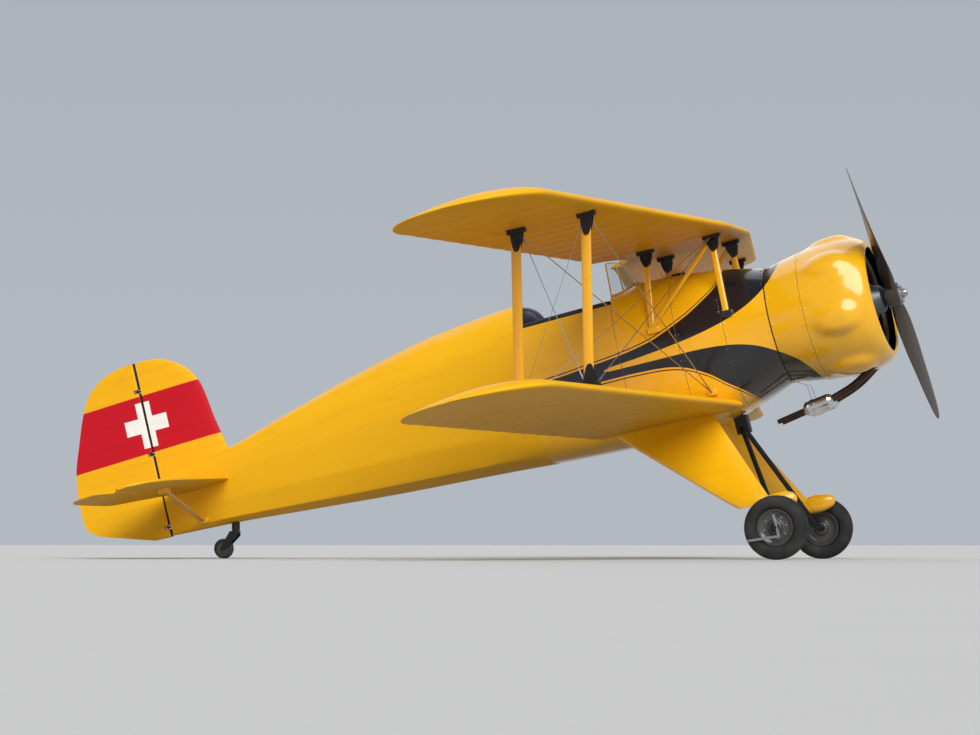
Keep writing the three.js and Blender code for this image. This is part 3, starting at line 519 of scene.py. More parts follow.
# %% The band and the cross
CROSS = {"x": -5.31, "z": 0.46, "length": 0.32, "arm": 0.105}
BAND = {"low": 0.262, "high": 0.665, "tilt": 0.03}


def between(tree, value, low, high, blur=0.0015):
    """1 where a value lies between two limits."""
    middle, half = (low + high) / 2, (high - low) / 2
    off = add_node(tree, "Math", {0: value, 1: middle}, operation="SUBTRACT")
    off = add_node(tree, "Math", {0: off}, operation="ABSOLUTE")
    return add_node(tree, "MapRange", {"Value": off, "From Min": half + blur, "From Max": half - blur})


def band_and_cross(tree, x, y, z, under):
    """The red band across the fin and rudder, and the white cross on it."""
    tilted = add_node(tree, "Math", {0: x, 1: -BAND["tilt"], 2: z}, operation="MULTIPLY_ADD")
    offset = -BAND["tilt"] * CROSS["x"]
    band = between(tree, tilted, BAND["low"] + offset, BAND["high"] + offset)
    red = add_node(tree, "MixRGB", {"Fac": band, "Color1": under, "Color2": srgb(RED)})
    arms = []
    for across, up in ((CROSS["length"], CROSS["arm"]), (CROSS["arm"], CROSS["length"])):
        wide = between(tree, x, CROSS["x"] - across / 2, CROSS["x"] + across / 2)
        tall = between(tree, z, CROSS["z"] - up / 2, CROSS["z"] + up / 2)
        arms.append(add_node(tree, "Math", {0: wide, 1: tall}, operation="MULTIPLY"))
    cross = add_node(tree, "Math", {0: arms[0], 1: arms[1]}, operation="MAXIMUM")
    return add_node(tree, "MixRGB", {"Fac": cross, "Color1": red, "Color2": srgb(WHITE)})


print("band is", round(BAND["high"] - BAND["low"], 3), "m high, cross", CROSS["length"], "m")

# %% [markdown]
# ### Doped linen
# The wings, the tail and the rear fuselage are linen, shrunk tight with dope and then sprayed yellow. Paint
# over cloth is glossy but never as flat as paint on metal: the threads show faintly, tapes run over each rib,
# and under the tapes the stitches make a row of small bumps. The threads are 0.5 mm apart on the real cloth,
# which no pixel here can show, so they are drawn 3 mm apart. Stitches are 60 mm apart, tapes 30 mm wide.

# %% Doped linen
THREAD_PITCH, TAPE_WIDTH, STITCH_PITCH = 0.003, 0.030, 0.060


def soiled_and_shaded_below(tree, level, colour, amount=0.05):
    """Uneven gloss paint: a slow change of tone, faint stains, and painted shade that darkens the undersides,
    in patches.
    """
    slow = add_node(tree, "TexNoise", {"Vector": level, "Scale": 1.8, "Detail": 3.0})
    tone = add_node(tree, "MapRange", {"Value": slow, "To Min": 1 - amount, "To Max": 1 + 0.6 * amount})
    tinted = add_node(tree, "MixRGB", {"Fac": 1.0, "Color1": colour, "Color2": tone}, blend_type="MULTIPLY")
    streaks = add_node(tree, "Mapping", {"Vector": level, "Scale": (1.2, 26, 26)})
    stain = add_node(tree, "TexNoise", {"Vector": streaks, "Scale": 1.0, "Detail": 5.0, "Roughness": 0.65})
    # Painted shade: faces that point down are darkened toward brown, by up to half, in patches from the stain
    # noise.
    facing = add_node(tree, "TexCoord").outputs["Normal"]
    down = add_node(tree, "SeparateXYZ", {"Vector": facing}).outputs["Z"]
    painted_underside_shade = add_node(tree, "MapRange", {
        "Value": down, "From Min": -0.35, "From Max": -0.9, "To Min": 0.0, "To Max": 0.5})
    shade_patches = add_node(tree, "MapRange", {"Value": stain, "From Min": 0.3, "From Max": 0.7, "To Min": 0.75})
    painted_underside_shade = add_node(tree, "Math", {0: painted_underside_shade, 1: shade_patches}, operation="MULTIPLY")
    stain = add_node(tree, "MapRange", {
        "Value": stain, "From Min": 0.55, "From Max": 0.85, "To Min": 0.0, "To Max": 0.16})
    # The brown is the faint stains' own colour and also the painted underside shade.
    stain_and_shade = add_node(tree, "Math", {0: painted_underside_shade, 1: stain}, operation="MAXIMUM")
    return add_node(tree, "MixRGB", {"Fac": stain_and_shade, "Color1": tinted, "Color2": srgb("#4E3C1A")})


def doped_linen(name, tapes=None, scheme=None, tape_axis="Y"):
    """tapes is (first rib, pitch) in metres along tape_axis, measured from the middle of the aircraft."""
    material, tree, level = new_material(name)
    x, y, z = add_node(tree, "SeparateXYZ", {"Vector": level}).outputs
    painted = scheme(tree, x, y, z, srgb(YELLOW)) if scheme else srgb(YELLOW)
    painted = soiled_and_shaded_below(tree, level, painted)
    threads = []
    for axis, other in ((x, z), (y, z)):
        run = add_node(tree, "Math", {0: axis, 1: other}, operation="ADD")
        run = add_node(tree, "Math", {0: run, 1: 2 * math.pi / THREAD_PITCH}, operation="MULTIPLY")
        threads.append(add_node(tree, "Math", {0: run}, operation="SINE"))
    weave = add_node(tree, "Math", {0: threads[0], 1: threads[1]}, operation="MULTIPLY")
    bump = add_node(tree, "Bump", {"Height": weave, "Strength": 0.12, "Distance": 0.00025})
    if tapes:
        first, pitch = tapes
        out = add_node(tree, "Math", {0: {"Y": y, "Z": z}[tape_axis]}, operation="ABSOLUTE")
        out = add_node(tree, "Math", {0: out, 1: first}, operation="SUBTRACT")
        off = add_node(tree, "Math", {0: out, 1: pitch}, operation="DIVIDE")
        off = add_node(tree, "Math", {0: off}, operation="ROUND")
        off = add_node(tree, "Math", {0: off, 1: -pitch, 2: out}, operation="MULTIPLY_ADD")
        off = add_node(tree, "Math", {0: off}, operation="ABSOLUTE")
        tape = add_node(tree, "MapRange", {
            "Value": off, "From Min": TAPE_WIDTH / 2 + 0.0015, "From Max": TAPE_WIDTH / 2 - 0.0005})
        run = add_node(tree, "Math", {0: x, 1: STITCH_PITCH / 2}, operation="PINGPONG")
        spot = add_node(tree, "Math", {0: off, 1: run}, operation="MAXIMUM")
        knot = add_node(tree, "MapRange", {"Value": spot, "From Min": 0.006, "From Max": 0.0015})
        relief = add_node(tree, "Math", {0: knot, 1: 0.9, 2: tape}, operation="MULTIPLY_ADD")
        bump = add_node(tree, "Bump", {
            "Height": relief, "Strength": 0.8, "Distance": 0.0008, "Normal": bump})
    shader = add_node(tree, "BsdfPrincipled", {
        "Base Color": painted, "Roughness": 0.5, "IOR": 1.46, "Specular IOR Level": 0.22, "Coat Weight": 0.05,
        "Coat Roughness": 0.24, "Normal": bump})
    add_node(tree, "OutputMaterial", {"Surface": shader})
    return material


linen_upper = doped_linen("doped linen, upper wing", tapes=(0.33, 2.54 / 13))
linen_lower = doped_linen("doped linen, lower wing", tapes=(0.25, 2.62 / 14))
linen_rear = doped_linen("doped linen, rear fuselage", scheme=scallops)
FIN_RIBS, TAIL_RIBS = (0.08, 0.15), (0.06, 0.155)
linen_fin = doped_linen("doped linen, fin and rudder", tapes=FIN_RIBS, scheme=band_and_cross, tape_axis="Z")
linen_tail = doped_linen("doped linen, tailplane", tapes=TAIL_RIBS)
print("linen finishes ready")

# %% [markdown]
# ### Enamelled sheet
# From the cockpit forward the skin is aluminium sheet with the same yellow in gloss enamel. It is flatter and
# shinier than the linen. Sheets meet in narrow dark seams, drawn 3 mm wide, and the sprayed surface has a
# slight orange peel about 6 mm across.

# %% Enamel
SEAM_WIDTH = 0.0028
NOSE_SEAMS, COWL_SEAM = (-1.10, -1.42, -1.83), -0.545


def enamel(name, hex_code=YELLOW, scheme=None, seams=(), gloss=0.22):
    material, tree, level = new_material(name)
    x, y, z = add_node(tree, "SeparateXYZ", {"Vector": level}).outputs
    painted = scheme(tree, x, y, z, srgb(hex_code)) if scheme else srgb(hex_code)
    painted = soiled_and_shaded_below(tree, level, painted)
    grain = add_node(tree, "TexNoise", {"Vector": level, "Scale": 170.0, "Detail": 1.0})
    bump = add_node(tree, "Bump", {"Height": grain, "Strength": 0.1, "Distance": 0.0006})
    for place in seams:
        seam = between(tree, x, place - SEAM_WIDTH / 2, place + SEAM_WIDTH / 2, 0.0006)
        painted = add_node(tree, "MixRGB", {"Fac": seam, "Color1": painted, "Color2": srgb("#3A2C0A")})
        bump = add_node(tree, "Bump", {
            "Height": seam, "Strength": 0.7, "Distance": 0.001, "Normal": bump}, invert=True)
    shader = add_node(tree, "BsdfPrincipled", {
        "Base Color": painted, "Roughness": gloss, "IOR": 1.5, "Coat Weight": 0.6, "Coat Roughness": 0.06,
        "Normal": bump})
    add_node(tree, "OutputMaterial", {"Surface": shader})
    return material


enamel_nose = enamel("gloss enamel on aluminium sheet, nose", scheme=scallops, seams=NOSE_SEAMS)
enamel_cowl = enamel("gloss enamel on spun aluminium, cowl", scheme=scallops, seams=[COWL_SEAM])
enamel_plain = enamel("gloss enamel on steel")
enamel_strut = enamel("gloss enamel on steel tube, struts", "#EFAE12", gloss=0.28)
enamel_inside = enamel("grey-green cockpit enamel", "#86927F", gloss=0.5)
enamel_disc = enamel("dark grey enamel on steel, wheel discs", "#3E3D3B", gloss=0.42)
print("enamels ready")

# %% [markdown]
# ### Metals
# Bare metal has no colour of its own but a tinted reflection, so metallic is 1 and the base colour is that
# tint. Cast aluminium is rough from its sand mould, a turned hub is smooth, and an exhaust pipe is steel that
# heat has browned unevenly.

# %% Metals
def metal(name, hex_code, rough, mottled=0.25, grain_mm=2.0, depth_mm=0.05, dark="#2A2622"):
    """Solid metal with slow mottling in its tone and a fine grain in its surface."""
    material, tree, level = new_material(name)
    slow = add_node(tree, "TexNoise", {"Vector": level, "Scale": 14.0, "Detail": 6.0, "Roughness": 0.6})
    spots = add_node(tree, "MapRange", {
        "Value": slow, "From Min": 0.42, "From Max": 0.75, "To Min": 0.0, "To Max": mottled})
    colour = add_node(tree, "MixRGB", {"Fac": spots, "Color1": srgb(hex_code), "Color2": srgb(dark)})
    fine = add_node(tree, "TexNoise", {"Vector": level, "Scale": 1000 / grain_mm, "Detail": 2.0})
    worn = add_node(tree, "MapRange", {
        "Value": slow, "To Min": max(rough - 0.08, 0.05), "To Max": rough + 0.12})
    bump = add_node(tree, "Bump", {"Height": fine, "Strength": 0.6, "Distance": depth_mm / 1000})
    shader = add_node(tree, "BsdfPrincipled", {
        "Base Color": colour, "Metallic": 1.0, "Roughness": worn, "Normal": bump})
    add_node(tree, "OutputMaterial", {"Surface": shader})
    return material


steel = metal("drawn steel", "#A9ABAD", 0.3, mottled=0.15)
dark_steel = metal("blackened steel", "#3A3B3E", 0.42, mottled=0.3)
cast_aluminium = metal("cast aluminium", "#9A9B9C", 0.5, mottled=0.5, grain_mm=3.0, depth_mm=0.15)
crankcase_grey = metal("grey-painted cast aluminium", "#6A6F74", 0.45, mottled=0.5, grain_mm=3.0,
                       depth_mm=0.12)
exhaust_steel = metal("heat-browned steel", "#4A3C33", 0.48, mottled=0.7, dark="#15110F")
bright_steel = metal("polished steel", "#D5D6D8", 0.18, mottled=0.1)
sheet_aluminium = metal("bare aluminium sheet, seat", "#B9BBBC", 0.36, mottled=0.3, dark="#6C6A66")
print("metals ready")

# %% [markdown]
# ### Rubber, leather, lacquered wood and clear plastic
# Tyre rubber is dark grey and never black, matt, and dusty in its low places. Leather has a pebbled grain
# about 1.5 mm across, drawn here at 4 mm. The propeller is wood under dark satin lacquer. The windscreen is
# acrylic, whose IOR is 1.49.

# %% Other finishes
def plain_finish(name, hex_code, rough, grain_mm, depth_mm, dust="#8C857A", dusty=0.1):
    """Rubber, leather or matt paint: a pebbled grain, with dust in patches."""
    material, tree, level = new_material(name)
    cells = add_node(tree, "TexVoronoi", {"Vector": level, "Scale": 1000 / grain_mm}, feature="F1")
    slow = add_node(tree, "TexNoise", {"Vector": level, "Scale": 9.0, "Detail": 5.0})
    spots = add_node(tree, "MapRange", {
        "Value": slow, "From Min": 0.45, "From Max": 0.8, "To Min": 0.0, "To Max": dusty})
    colour = add_node(tree, "MixRGB", {"Fac": spots, "Color1": srgb(hex_code), "Color2": srgb(dust)})
    bump = add_node(tree, "Bump", {
        "Height": cells.outputs["Distance"], "Strength": 0.7, "Distance": depth_mm / 1000})
    shader = add_node(tree, "BsdfPrincipled", {
        "Base Color": colour, "Roughness": rough, "IOR": 1.5, "Normal": bump})
    add_node(tree, "OutputMaterial", {"Surface": shader})
    return material


rubber = plain_finish("tyre rubber", "#17181A", 0.78, 3.0, 0.1, dusty=0.14)
# Painted shadow: the faces inside the tail's hinge gaps are made dark brown for the shade that falls there.
painted_gap_shade = plain_finish("painted shade in the hinge gaps", "#2A1E14", 0.7, 3.0, 0.1, dust="#4A3A24", dusty=0.3)
leather = plain_finish("dark leather", "#1B2030", 0.5, 4.0, 0.5, dust="#3A3F4C", dusty=0.5)
panel_black = plain_finish("matt black crackle paint", "#141516", 0.6, 2.5, 0.3, dusty=0.08)
webbing = plain_finish("woven webbing", "#5C5F4C", 0.8, 3.0, 0.5, dusty=0.3)

# The propeller is glued from boards 22 mm thick, one behind the other. Cut to the blade's twist, their edges
# show as long thin bands, and the grain runs out along the blade.
BOARD, BLADE_REST = 0.022, math.radians(37)
lacquer, tree, level = new_material("dark lacquered laminated wood")
turned_back = add_node(tree, "Mapping", {"Vector": level, "Rotation": (-BLADE_REST, 0, 0)})
x = add_node(tree, "SeparateXYZ", {"Vector": level}).outputs["X"]
board = add_node(tree, "Math", {0: x, 1: 1 / BOARD}, operation="MULTIPLY")
board = add_node(tree, "Math", {0: board}, operation="FLOOR")
shade_of = add_node(tree, "TexWhiteNoise", {"W": board}, noise_dimensions="1D").outputs["Value"]
fibre = add_node(tree, "Mapping", {"Vector": turned_back, "Scale": (260, 260, 7)})
fibre = add_node(tree, "TexNoise", {"Vector": fibre, "Scale": 1.0, "Detail": 4.0})
grain = add_node(tree, "Math", {0: fibre, 1: 0.7}, operation="MULTIPLY")
blend = add_node(tree, "Math", {0: shade_of, 1: 0.45, 2: grain}, operation="MULTIPLY_ADD")
wood = add_node(tree, "MixRGB", {"Fac": blend, "Color1": srgb("#1E1712"), "Color2": srgb("#4C3A2C")})
bump = add_node(tree, "Bump", {"Height": fibre, "Strength": 0.3, "Distance": 0.0004})
shader = add_node(tree, "BsdfPrincipled", {
    "Base Color": wood, "Roughness": 0.4, "IOR": 1.5, "Coat Weight": 0.4, "Coat Roughness": 0.18,
    "Normal": bump})
add_node(tree, "OutputMaterial", {"Surface": shader})

acrylic, tree, level = new_material("clear acrylic")
shader = add_node(tree, "BsdfPrincipled", {
    "Base Color": srgb("#EAF1F4"), "Roughness": 0.03, "IOR": 1.49, "Transmission Weight": 1.0})
add_node(tree, "OutputMaterial", {"Surface": shader})
print("finishes ready")

# %% [markdown]
# ## The floor
# A plain pale sweep of paper: a floor that runs on far behind the aircraft, without a visible corner.

# %% Floor
floor_material, tree, level = new_material("pale paper")
fibres = add_node(tree, "TexNoise", {"Vector": level, "Scale": 2.0, "Detail": 3.0})
tone = add_node(tree, "MapRange", {"Value": fibres, "To Min": 0.97, "To Max": 1.0})
colour = add_node(tree, "MixRGB", {
    "Fac": 1.0, "Color1": srgb("#C9C8C4"), "Color2": tone}, blend_type="MULTIPLY")
shader = add_node(tree, "BsdfPrincipled", {"Base Color": colour, "Roughness": 0.9, "Specular IOR Level": 0.1})
add_node(tree, "OutputMaterial", {"Surface": shader})
floor_mesh = bpy.data.meshes.new("floor")
FAR = 90
corners = [(-FAR, -FAR, 0), (FAR, -FAR, 0), (FAR, FAR, 0), (-FAR, FAR, 0)]
floor_mesh.from_pydata(corners, [], [(0, 1, 2, 3)])
floor_mesh.materials.append(floor_material)
floor = add_object("floor", floor_mesh)
print("floor laid")

# %% [markdown]
# ## Fuselage
# The real fuselage is a welded steel tube frame. Light stringers stand off it and the linen is stretched over
# them. Cloth under tension runs straight from one stringer to the next, so the rear body has long flat
# facets and its lowest side edge shows as a crease. Each cross-section is a superellipse, a shape between an
# ellipse and a rounded box, and on the rear body it is drawn in toward the straight lines between stringers.
# The stations repeat the CAD table, and the fair curve between them takes away its steps.

# %% Cross-sections of the fuselage
FUSELAGE = [
    # x, top, bottom, half width, waist height, top roundness, bottom roundness
    (-0.790, 0.392, -0.388, 0.386, 0.0, 2.0, 2.0),
    (-1.100, 0.462, -0.490, 0.374, -0.020, 2.2, 2.9),
    (-1.350, 0.495, -0.552, 0.373, -0.045, 2.3, 3.5),
    (-1.600, 0.515, -0.562, 0.370, -0.060, 2.3, 3.6),
    (-1.830, 0.528, -0.556, 0.365, -0.080, 2.3, 3.6),
    (-2.160, 0.560, -0.540, 0.352, -0.080, 2.2, 3.4),
    (-2.500, 0.588, -0.520, 0.335, -0.060, 2.1, 3.2),
    (-3.075, 0.548, -0.486, 0.288, -0.040, 2.1, 3.0),
    (-3.600, 0.455, -0.455, 0.233, -0.040, 2.2, 2.8),
    (-4.280, 0.290, -0.402, 0.160, -0.050, 2.3, 2.8),
    (-4.780, 0.158, -0.362, 0.104, -0.060, 2.4, 2.8),
    (-5.298, 0.075, -0.335, 0.034, -0.060, 2.5, 2.8),
]
FIREWALL, PANEL_FRAME, SEAT_FRAME, STERN = -0.790, -1.830, -2.500, -5.298
SILL, COCKPIT_FLOOR = 0.400, -0.330
STRINGERS = np.radians([-90, -55, -19, 8, 35, 60, 90])
TAUT_FROM, TAUT_UNTIL = (2.5, 3.0), (4.9, 5.29)


def skin_point(x, lean, grow=0.0):
    """Out and up to the skin. lean is 90 degrees at the top, 0 at the waist and -90 at the keel."""
    top, bottom, half, waist, round_top, round_bottom = fair(FUSELAGE, x)[0]
    c, s = np.abs(np.cos(lean)), np.sin(lean)
    power = 2 / np.where(s > 0, round_top, round_bottom)
    reach = np.where(s > 0, top + grow - waist, waist - bottom + grow)
    return np.stack([(half + grow) * c**power, waist + reach * np.sign(s) * np.abs(s)**power])


def hull_ring(x, grow=0.0, taut=0.0, count=120):
    """One cross-section. taut is how far the cloth is drawn in toward straight lines."""
    angle = full_turn(count, 0.5) - np.pi / 2
    lean = np.arcsin(np.sin(angle))
    y, z = skin_point(x, lean, grow)
    if taut:
        after = np.searchsorted(STRINGERS, lean).clip(1, len(STRINGERS) - 1)
        low, high = STRINGERS[after - 1], STRINGERS[after]
        share = (lean - low) / (high - low)
        straight = (1 - share) * skin_point(x, low, grow) + share * skin_point(x, high, grow)
        y, z = (1 - taut) * np.stack([y, z]) + taut * straight
    return np.stack([np.full(count, x), np.sign(np.cos(angle)) * y, z], 1)


def hull(start, end, grow=0.0, taut=0.0, step=0.04):
    stations = np.linspace(start, end, max(2, round(abs(end - start) / step)))
    return loft([hull_ring(x, grow, taut * float(ease(-x, *TAUT_FROM) * (1 - ease(-x, *TAUT_UNTIL))))
                 for x in stations])


def deck_height(x, y):
    """The height of the fuselage's upper skin above a point."""
    top, _, half, waist, roundness, _ = fair(FUSELAGE, x)[0]
    return waist + (top - waist) * max(0.0, 1 - (abs(y) / half)**roundness)**(1 / roundness)


nose = add_piece("nose_skin", hull(FIREWALL, PANEL_FRAME), enamel_nose, "fuselage_nose")
repaint(nose, panel_black, lambda centre, normal: normal.x < -0.9)
add_piece("rear_skin", hull(SEAT_FRAME, STERN, taut=0.8), linen_rear, "fuselage_rear")
print("deck at the windscreen:", round(deck_height(-1.7, 0), 3), "m above the thrust line")

# %% [markdown]
# ### Cockpit
# The cockpit is a tub with a straight sill. It is cut as a real opening, so that light falls into it: first
# a solid length of hull, then the room inside the skin is carved out, and then everything above the sill.

# %% Cockpit tub
tub = add_piece("cockpit_skin", hull(PANEL_FRAME, SEAT_FRAME), enamel_nose, "fuselage_cockpit")
room_rings = [hull_ring(x, -0.022) for x in np.linspace(PANEL_FRAME + 0.1, SEAT_FRAME - 0.1, 24)]
for ring in room_rings:
    ring[:, 2] = np.maximum(ring[:, 2], COCKPIT_FLOOR)
carve(tub, loft(room_rings))
carve(tub, block((-3, -0.6, SILL), (0, 0.6, 0.9)))


def within_hull(point, grow):
    top, bottom, half, waist, round_top, round_bottom = fair(FUSELAGE, point.x)[0]
    up = point.z > waist
    reach = (top - waist if up else waist - bottom) + grow
    power = round_top if up else round_bottom
    return (abs(point.y) / (half + grow))**power + (abs(point.z - waist) / reach)**power < 1


repaint(tub, enamel_inside, lambda centre, normal: within_hull(centre, -0.016) and centre.z < SILL - 0.003)
print("cockpit tub has", len(tub.data.polygons), "faces")

# %% [markdown]
# ### Firewall ring and fittings
# The cowl slides over a ring on the firewall. Under the belly a steel bracket takes the half axles, and
# small blocks on the nose take the feet of the centre section's struts and the flying wires.

# %% Ring, bracket and blocks
fittings = together(bar(-0.81, -0.74, 0.3827, 96), block((-1.245, -0.04, -0.64), (-1.155, 0.04, -0.52)))
add_piece("firewall_ring_and_bracket", fittings, dark_steel, bevel=0.004)
CABANE_FEET = [(-1.050, 0.366, 0.150), (-1.560, 0.364, 0.170)]
FLYING_FOOT = (-1.275, 0.374, -0.352)
feet = [block((x - 0.04, 0.3, z - 0.046), (x + 0.04, y + 0.014, z)) for x, y, z in CABANE_FEET]
x, y, z = FLYING_FOOT
feet.append(block((x - 0.032, 0.3, z - 0.022), (x + 0.032, y, z + 0.022)))
add_piece("strut_foot_blocks", both_sides(together(*feet)), enamel_nose, bevel=0.006)
print("fittings on the nose:", len(feet) * 2 + 2)

# %% [markdown]
# ### Fasteners
# Sheets that come off for service are held by quarter-turn studs along their seams. Each is a low dome 15 mm
# across. They are set out at even steps along the skin's cross-section, square to it, and share its paint.

# %% Studs along the seams
STUD_RADIUS, STUD_HEIGHT, FROM_SEAM = 0.0075, 0.0028, 0.013
STUD = turned([(-0.003, 0), (-0.003, STUD_RADIUS), (STUD_HEIGHT * 0.3, STUD_RADIUS),
               (STUD_HEIGHT, STUD_RADIUS * 0.55), (STUD_HEIGHT, 0)], 10)


def stud_row(ring, pitch=0.088, below=1.0):
    """Low domes at even steps along a closed ring of points, each square to the ring, up to a height."""
    ring = np.vstack([ring, ring[:1]])
    run = np.concatenate([[0], np.cumsum(np.linalg.norm(np.diff(ring, axis=0), axis=1))])
    count = round(run[-1] / pitch)
    places = (np.arange(count) + 0.5) / count * run[-1]
    spots = np.stack([np.interp(places, run, ring[:, k]) for k in range(3)], 1)
    ahead = np.stack([np.interp((places + 0.01) % run[-1], run, ring[:, k]) for k in range(3)], 1)
    shapes = []
    for spot, after in zip(spots, ahead):
        if spot[2] > below:
            continue
        out = np.cross(after - spot, [1.0, 0, 0])
        out *= np.sign(out @ (spot - ring.mean(axis=0)))
        shapes.append(placed(STUD, pointing(spot, out)))
    return together(*shapes)


stud_places = [seam + off for seam in NOSE_SEAMS[:2] for off in (FROM_SEAM, -FROM_SEAM)]
nose_studs = together(*(stud_row(hull_ring(x)) for x in (-0.805, *stud_places)),
                      stud_row(hull_ring(NOSE_SEAMS[2] + FROM_SEAM), below=SILL - 0.03))
add_piece("nose_studs", nose_studs, enamel_nose, soft=50)
print("nose studs:", len(nose_studs[1]) // len(STUD[1]))

# %% [markdown]
# ## Wings
# Both wings sweep back by 11 degrees and rise a little toward the tips. A wing is linen over ribs about
# 190 mm apart. Ahead of the front spar the skin is thin plywood, so it is smooth there, and behind it the
# linen sinks by 4 mm between ribs and pulls the trailing edge in. A subdivision surface could not follow the
# ribs, so each rib bay gets six rows of points of its own.

# %% The section and the plan of a wing
CHORD, SEMI_SPAN, TIP_START, SWEEP = 0.98, 3.3, 2.87, math.tan(math.radians(11))
CENTRE_HALF = 0.33
UPPER = {"edge": -0.910, "height": 0.700, "rise": math.tan(math.radians(3)), "root": CENTRE_HALF + 0.0003,
         "straight": CENTRE_HALF, "bays": 13}
LOWER = {"edge": -1.070, "height": -0.480, "rise": math.tan(math.radians(3.5)), "root": 0.25,
         "straight": 0.0, "bays": 14}
CAMBER, PEAK, THICKNESS = 0.03, 0.4, 0.11
CLOTH_SINKS, EDGE_PULLED, EDGE_HALF = 0.004, 0.007, 0.003
WING_TIP = {"roundness": 2.2, "least": 0.05, "thinning": 0.3, "centre": 0.52}


def camber_line(x):
    """The height of the section's middle line, in chords. It is highest at the peak."""
    ahead = CAMBER / PEAK**2 * (2 * PEAK * x - x * x)
    behind = CAMBER / (1 - PEAK)**2 * (1 - 2 * PEAK + 2 * PEAK * x - x * x)
    return np.where(x < PEAK, ahead, behind)


def half_thickness(x):
    """Half the section's thickness, in chords: the usual four-digit formula."""
    shape = 0.2969 * np.sqrt(x) - 0.126 * x - 0.3516 * x**2 + 0.2843 * x**3 - 0.1036 * x**4
    return 5 * THICKNESS * shape


def leading_edge(wing, y):
    return wing["edge"] - (y - wing["straight"]) * SWEEP


def chord_height(wing, y):
    return wing["height"] + (y - wing["straight"]) * wing["rise"]


def section(chord, sag=0.0, squeeze=1.0, points=30):
    """The wing's outline as forward and up, from the upper trailing edge round the nose to the lower one."""
    x = (1 - np.cos(np.pi * (np.arange(points) + 1) / points)) / 2
    cloth = ease(x, 0.13, 0.24) * (1 - ease(x, 0.93, 1.0)) * sag * CLOTH_SINKS
    pulled = x * chord - sag * EDGE_PULLED * ease(x, 0.8, 1.0)
    sides = []
    for sign in (1, -1):
        half = half_thickness(x) * chord * squeeze + EDGE_HALF * x - cloth
        z = camber_line(x) * chord * squeeze + sign * half
        sides.append(np.stack([-pulled, z], 1))
    return np.vstack([sides[0][::-1], [[0, 0]], sides[1]])


def wing_ring(wing, y, sag=0.0):
    over = max(0.0, (y - TIP_START) / (SEMI_SPAN - TIP_START))
    share = max(WING_TIP["least"], math.sqrt(max(0.0, 1 - over**WING_TIP["roundness"])))
    outline = section(CHORD * share, sag, share**WING_TIP["thinning"])
    x = leading_edge(wing, y) - CHORD * WING_TIP["centre"] * (1 - share)
    return np.stack([x + outline[:, 0], np.full(len(outline), y), chord_height(wing, y) + outline[:, 1]], 1)


def wing_panel(wing):
    rings = []
    pitch = (TIP_START - wing["root"]) / wing["bays"]
    for bay in range(wing["bays"]):
        for share in (0, 0.07, 0.25, 0.5, 0.75, 0.93):
            y = wing["root"] + (bay + share) * pitch
            rings.append(wing_ring(wing, y, 4 * share * (1 - share)))
    for turn in np.linspace(0, math.pi / 2, 22):
        rings.append(wing_ring(wing, TIP_START + (SEMI_SPAN - TIP_START) * math.sin(turn)))
    return loft(rings)


print("rib pitch:", [round((TIP_START - wing["root"]) / wing["bays"], 3) for wing in (UPPER, LOWER)])

# %% [markdown]
# ### Ailerons and their bays
# All four outer wings carry an aileron with a round nose that turns inside a bay. The bay is cut out of the
# finished wing, and the aileron is the part that was cut away, closed in front with a tube on its hinge line.
# That way the linen's ridges run on from the wing into the aileron.

# %% Split each wing at its aileron
HINGE_SHARE, AILERON_IN, AILERON_OUT, NOSE_RADIUS, BAY_GAP = 0.75, 1.64, 2.79, 0.027, 0.008
SPARS = (0.14, 0.61)
STRUT_Y = 2.15
UNDER_SPAR, OVER_SPAR = (0.056, 0.042), (0.086, 0.084)


def aileron_frame(wing):
    ends = [Vector((leading_edge(wing, y) - HINGE_SHARE * CHORD, y,
                    chord_height(wing, y) + float(camber_line(HINGE_SHARE)) * CHORD))
            for y in (AILERON_IN, AILERON_OUT)]
    along = (ends[1] - ends[0]).normalized()
    up = (Vector((0, 0, 1)) - along * along.z).normalized()
    forward = along.cross(up)
    matrix = Matrix((forward, along, up)).transposed().to_4x4()
    matrix.translation = ends[0]
    return matrix, (ends[1] - ends[0]).length


def spar_point(wing, y, spar, offset):
    return np.array([leading_edge(wing, y) - SPARS[spar] * CHORD, y, chord_height(wing, y) + offset])


STRUT_TOPS = [spar_point(UPPER, STRUT_Y, k, -UNDER_SPAR[k]) for k in (0, 1)]
STRUT_FEET = [spar_point(LOWER, STRUT_Y, k, OVER_SPAR[k]) for k in (0, 1)]


def make_wing(level, wing, linen):
    matrix, length = aileron_frame(wing)
    bay = block((-0.4, -BAY_GAP, -0.3), (NOSE_RADIUS + BAY_GAP, length + BAY_GAP, 0.3))
    blade = block((-0.4, 0, -0.3), (0.0005, length, 0.3))
    panel = add_piece(f"{level}_wing_left_skin", wing_panel(wing), linen, f"{level}_wing_left")
    carve(panel, placed(bay, matrix))
    mirror_piece(panel, f"{level}_wing_right_skin", f"{level}_wing_right")
    flap = add_piece(f"aileron_{level}_left_skin", wing_panel(wing), linen, f"aileron_{level}_left",
                     f"aileron_{level}_left_body")
    carve(flap, placed(blade, matrix), keep=True)
    mirror_piece(flap, f"aileron_{level}_right_skin", f"aileron_{level}_right",
                 f"aileron_{level}_right_body")
    spar = placed(bar(0, length, NOSE_RADIUS - 0.0005, 48), matrix @ ACROSS)
    pins = placed(bar(-0.02, length + 0.02, 0.007, 20), matrix @ ACROSS)
    for side, form in SIDES:
        name = f"aileron_{level}_{side}"
        add_piece(name + "_nose", form(spar), linen, body=name + "_body")
        add_piece(name + "_pins", form(pins), steel, body=name + "_body")
    print(level, "wing:", len(panel.data.polygons), "faces, aileron", round(length, 3), "m long")


make_wing("upper", UPPER, linen_upper)
make_wing("lower", LOWER, linen_lower)

# %% [markdown]
# ### Centre section
# A short straight piece of wing joins the upper wings above the nose. Its trailing edge is cut away in an arc
# so that there is a view upwards from the seat.

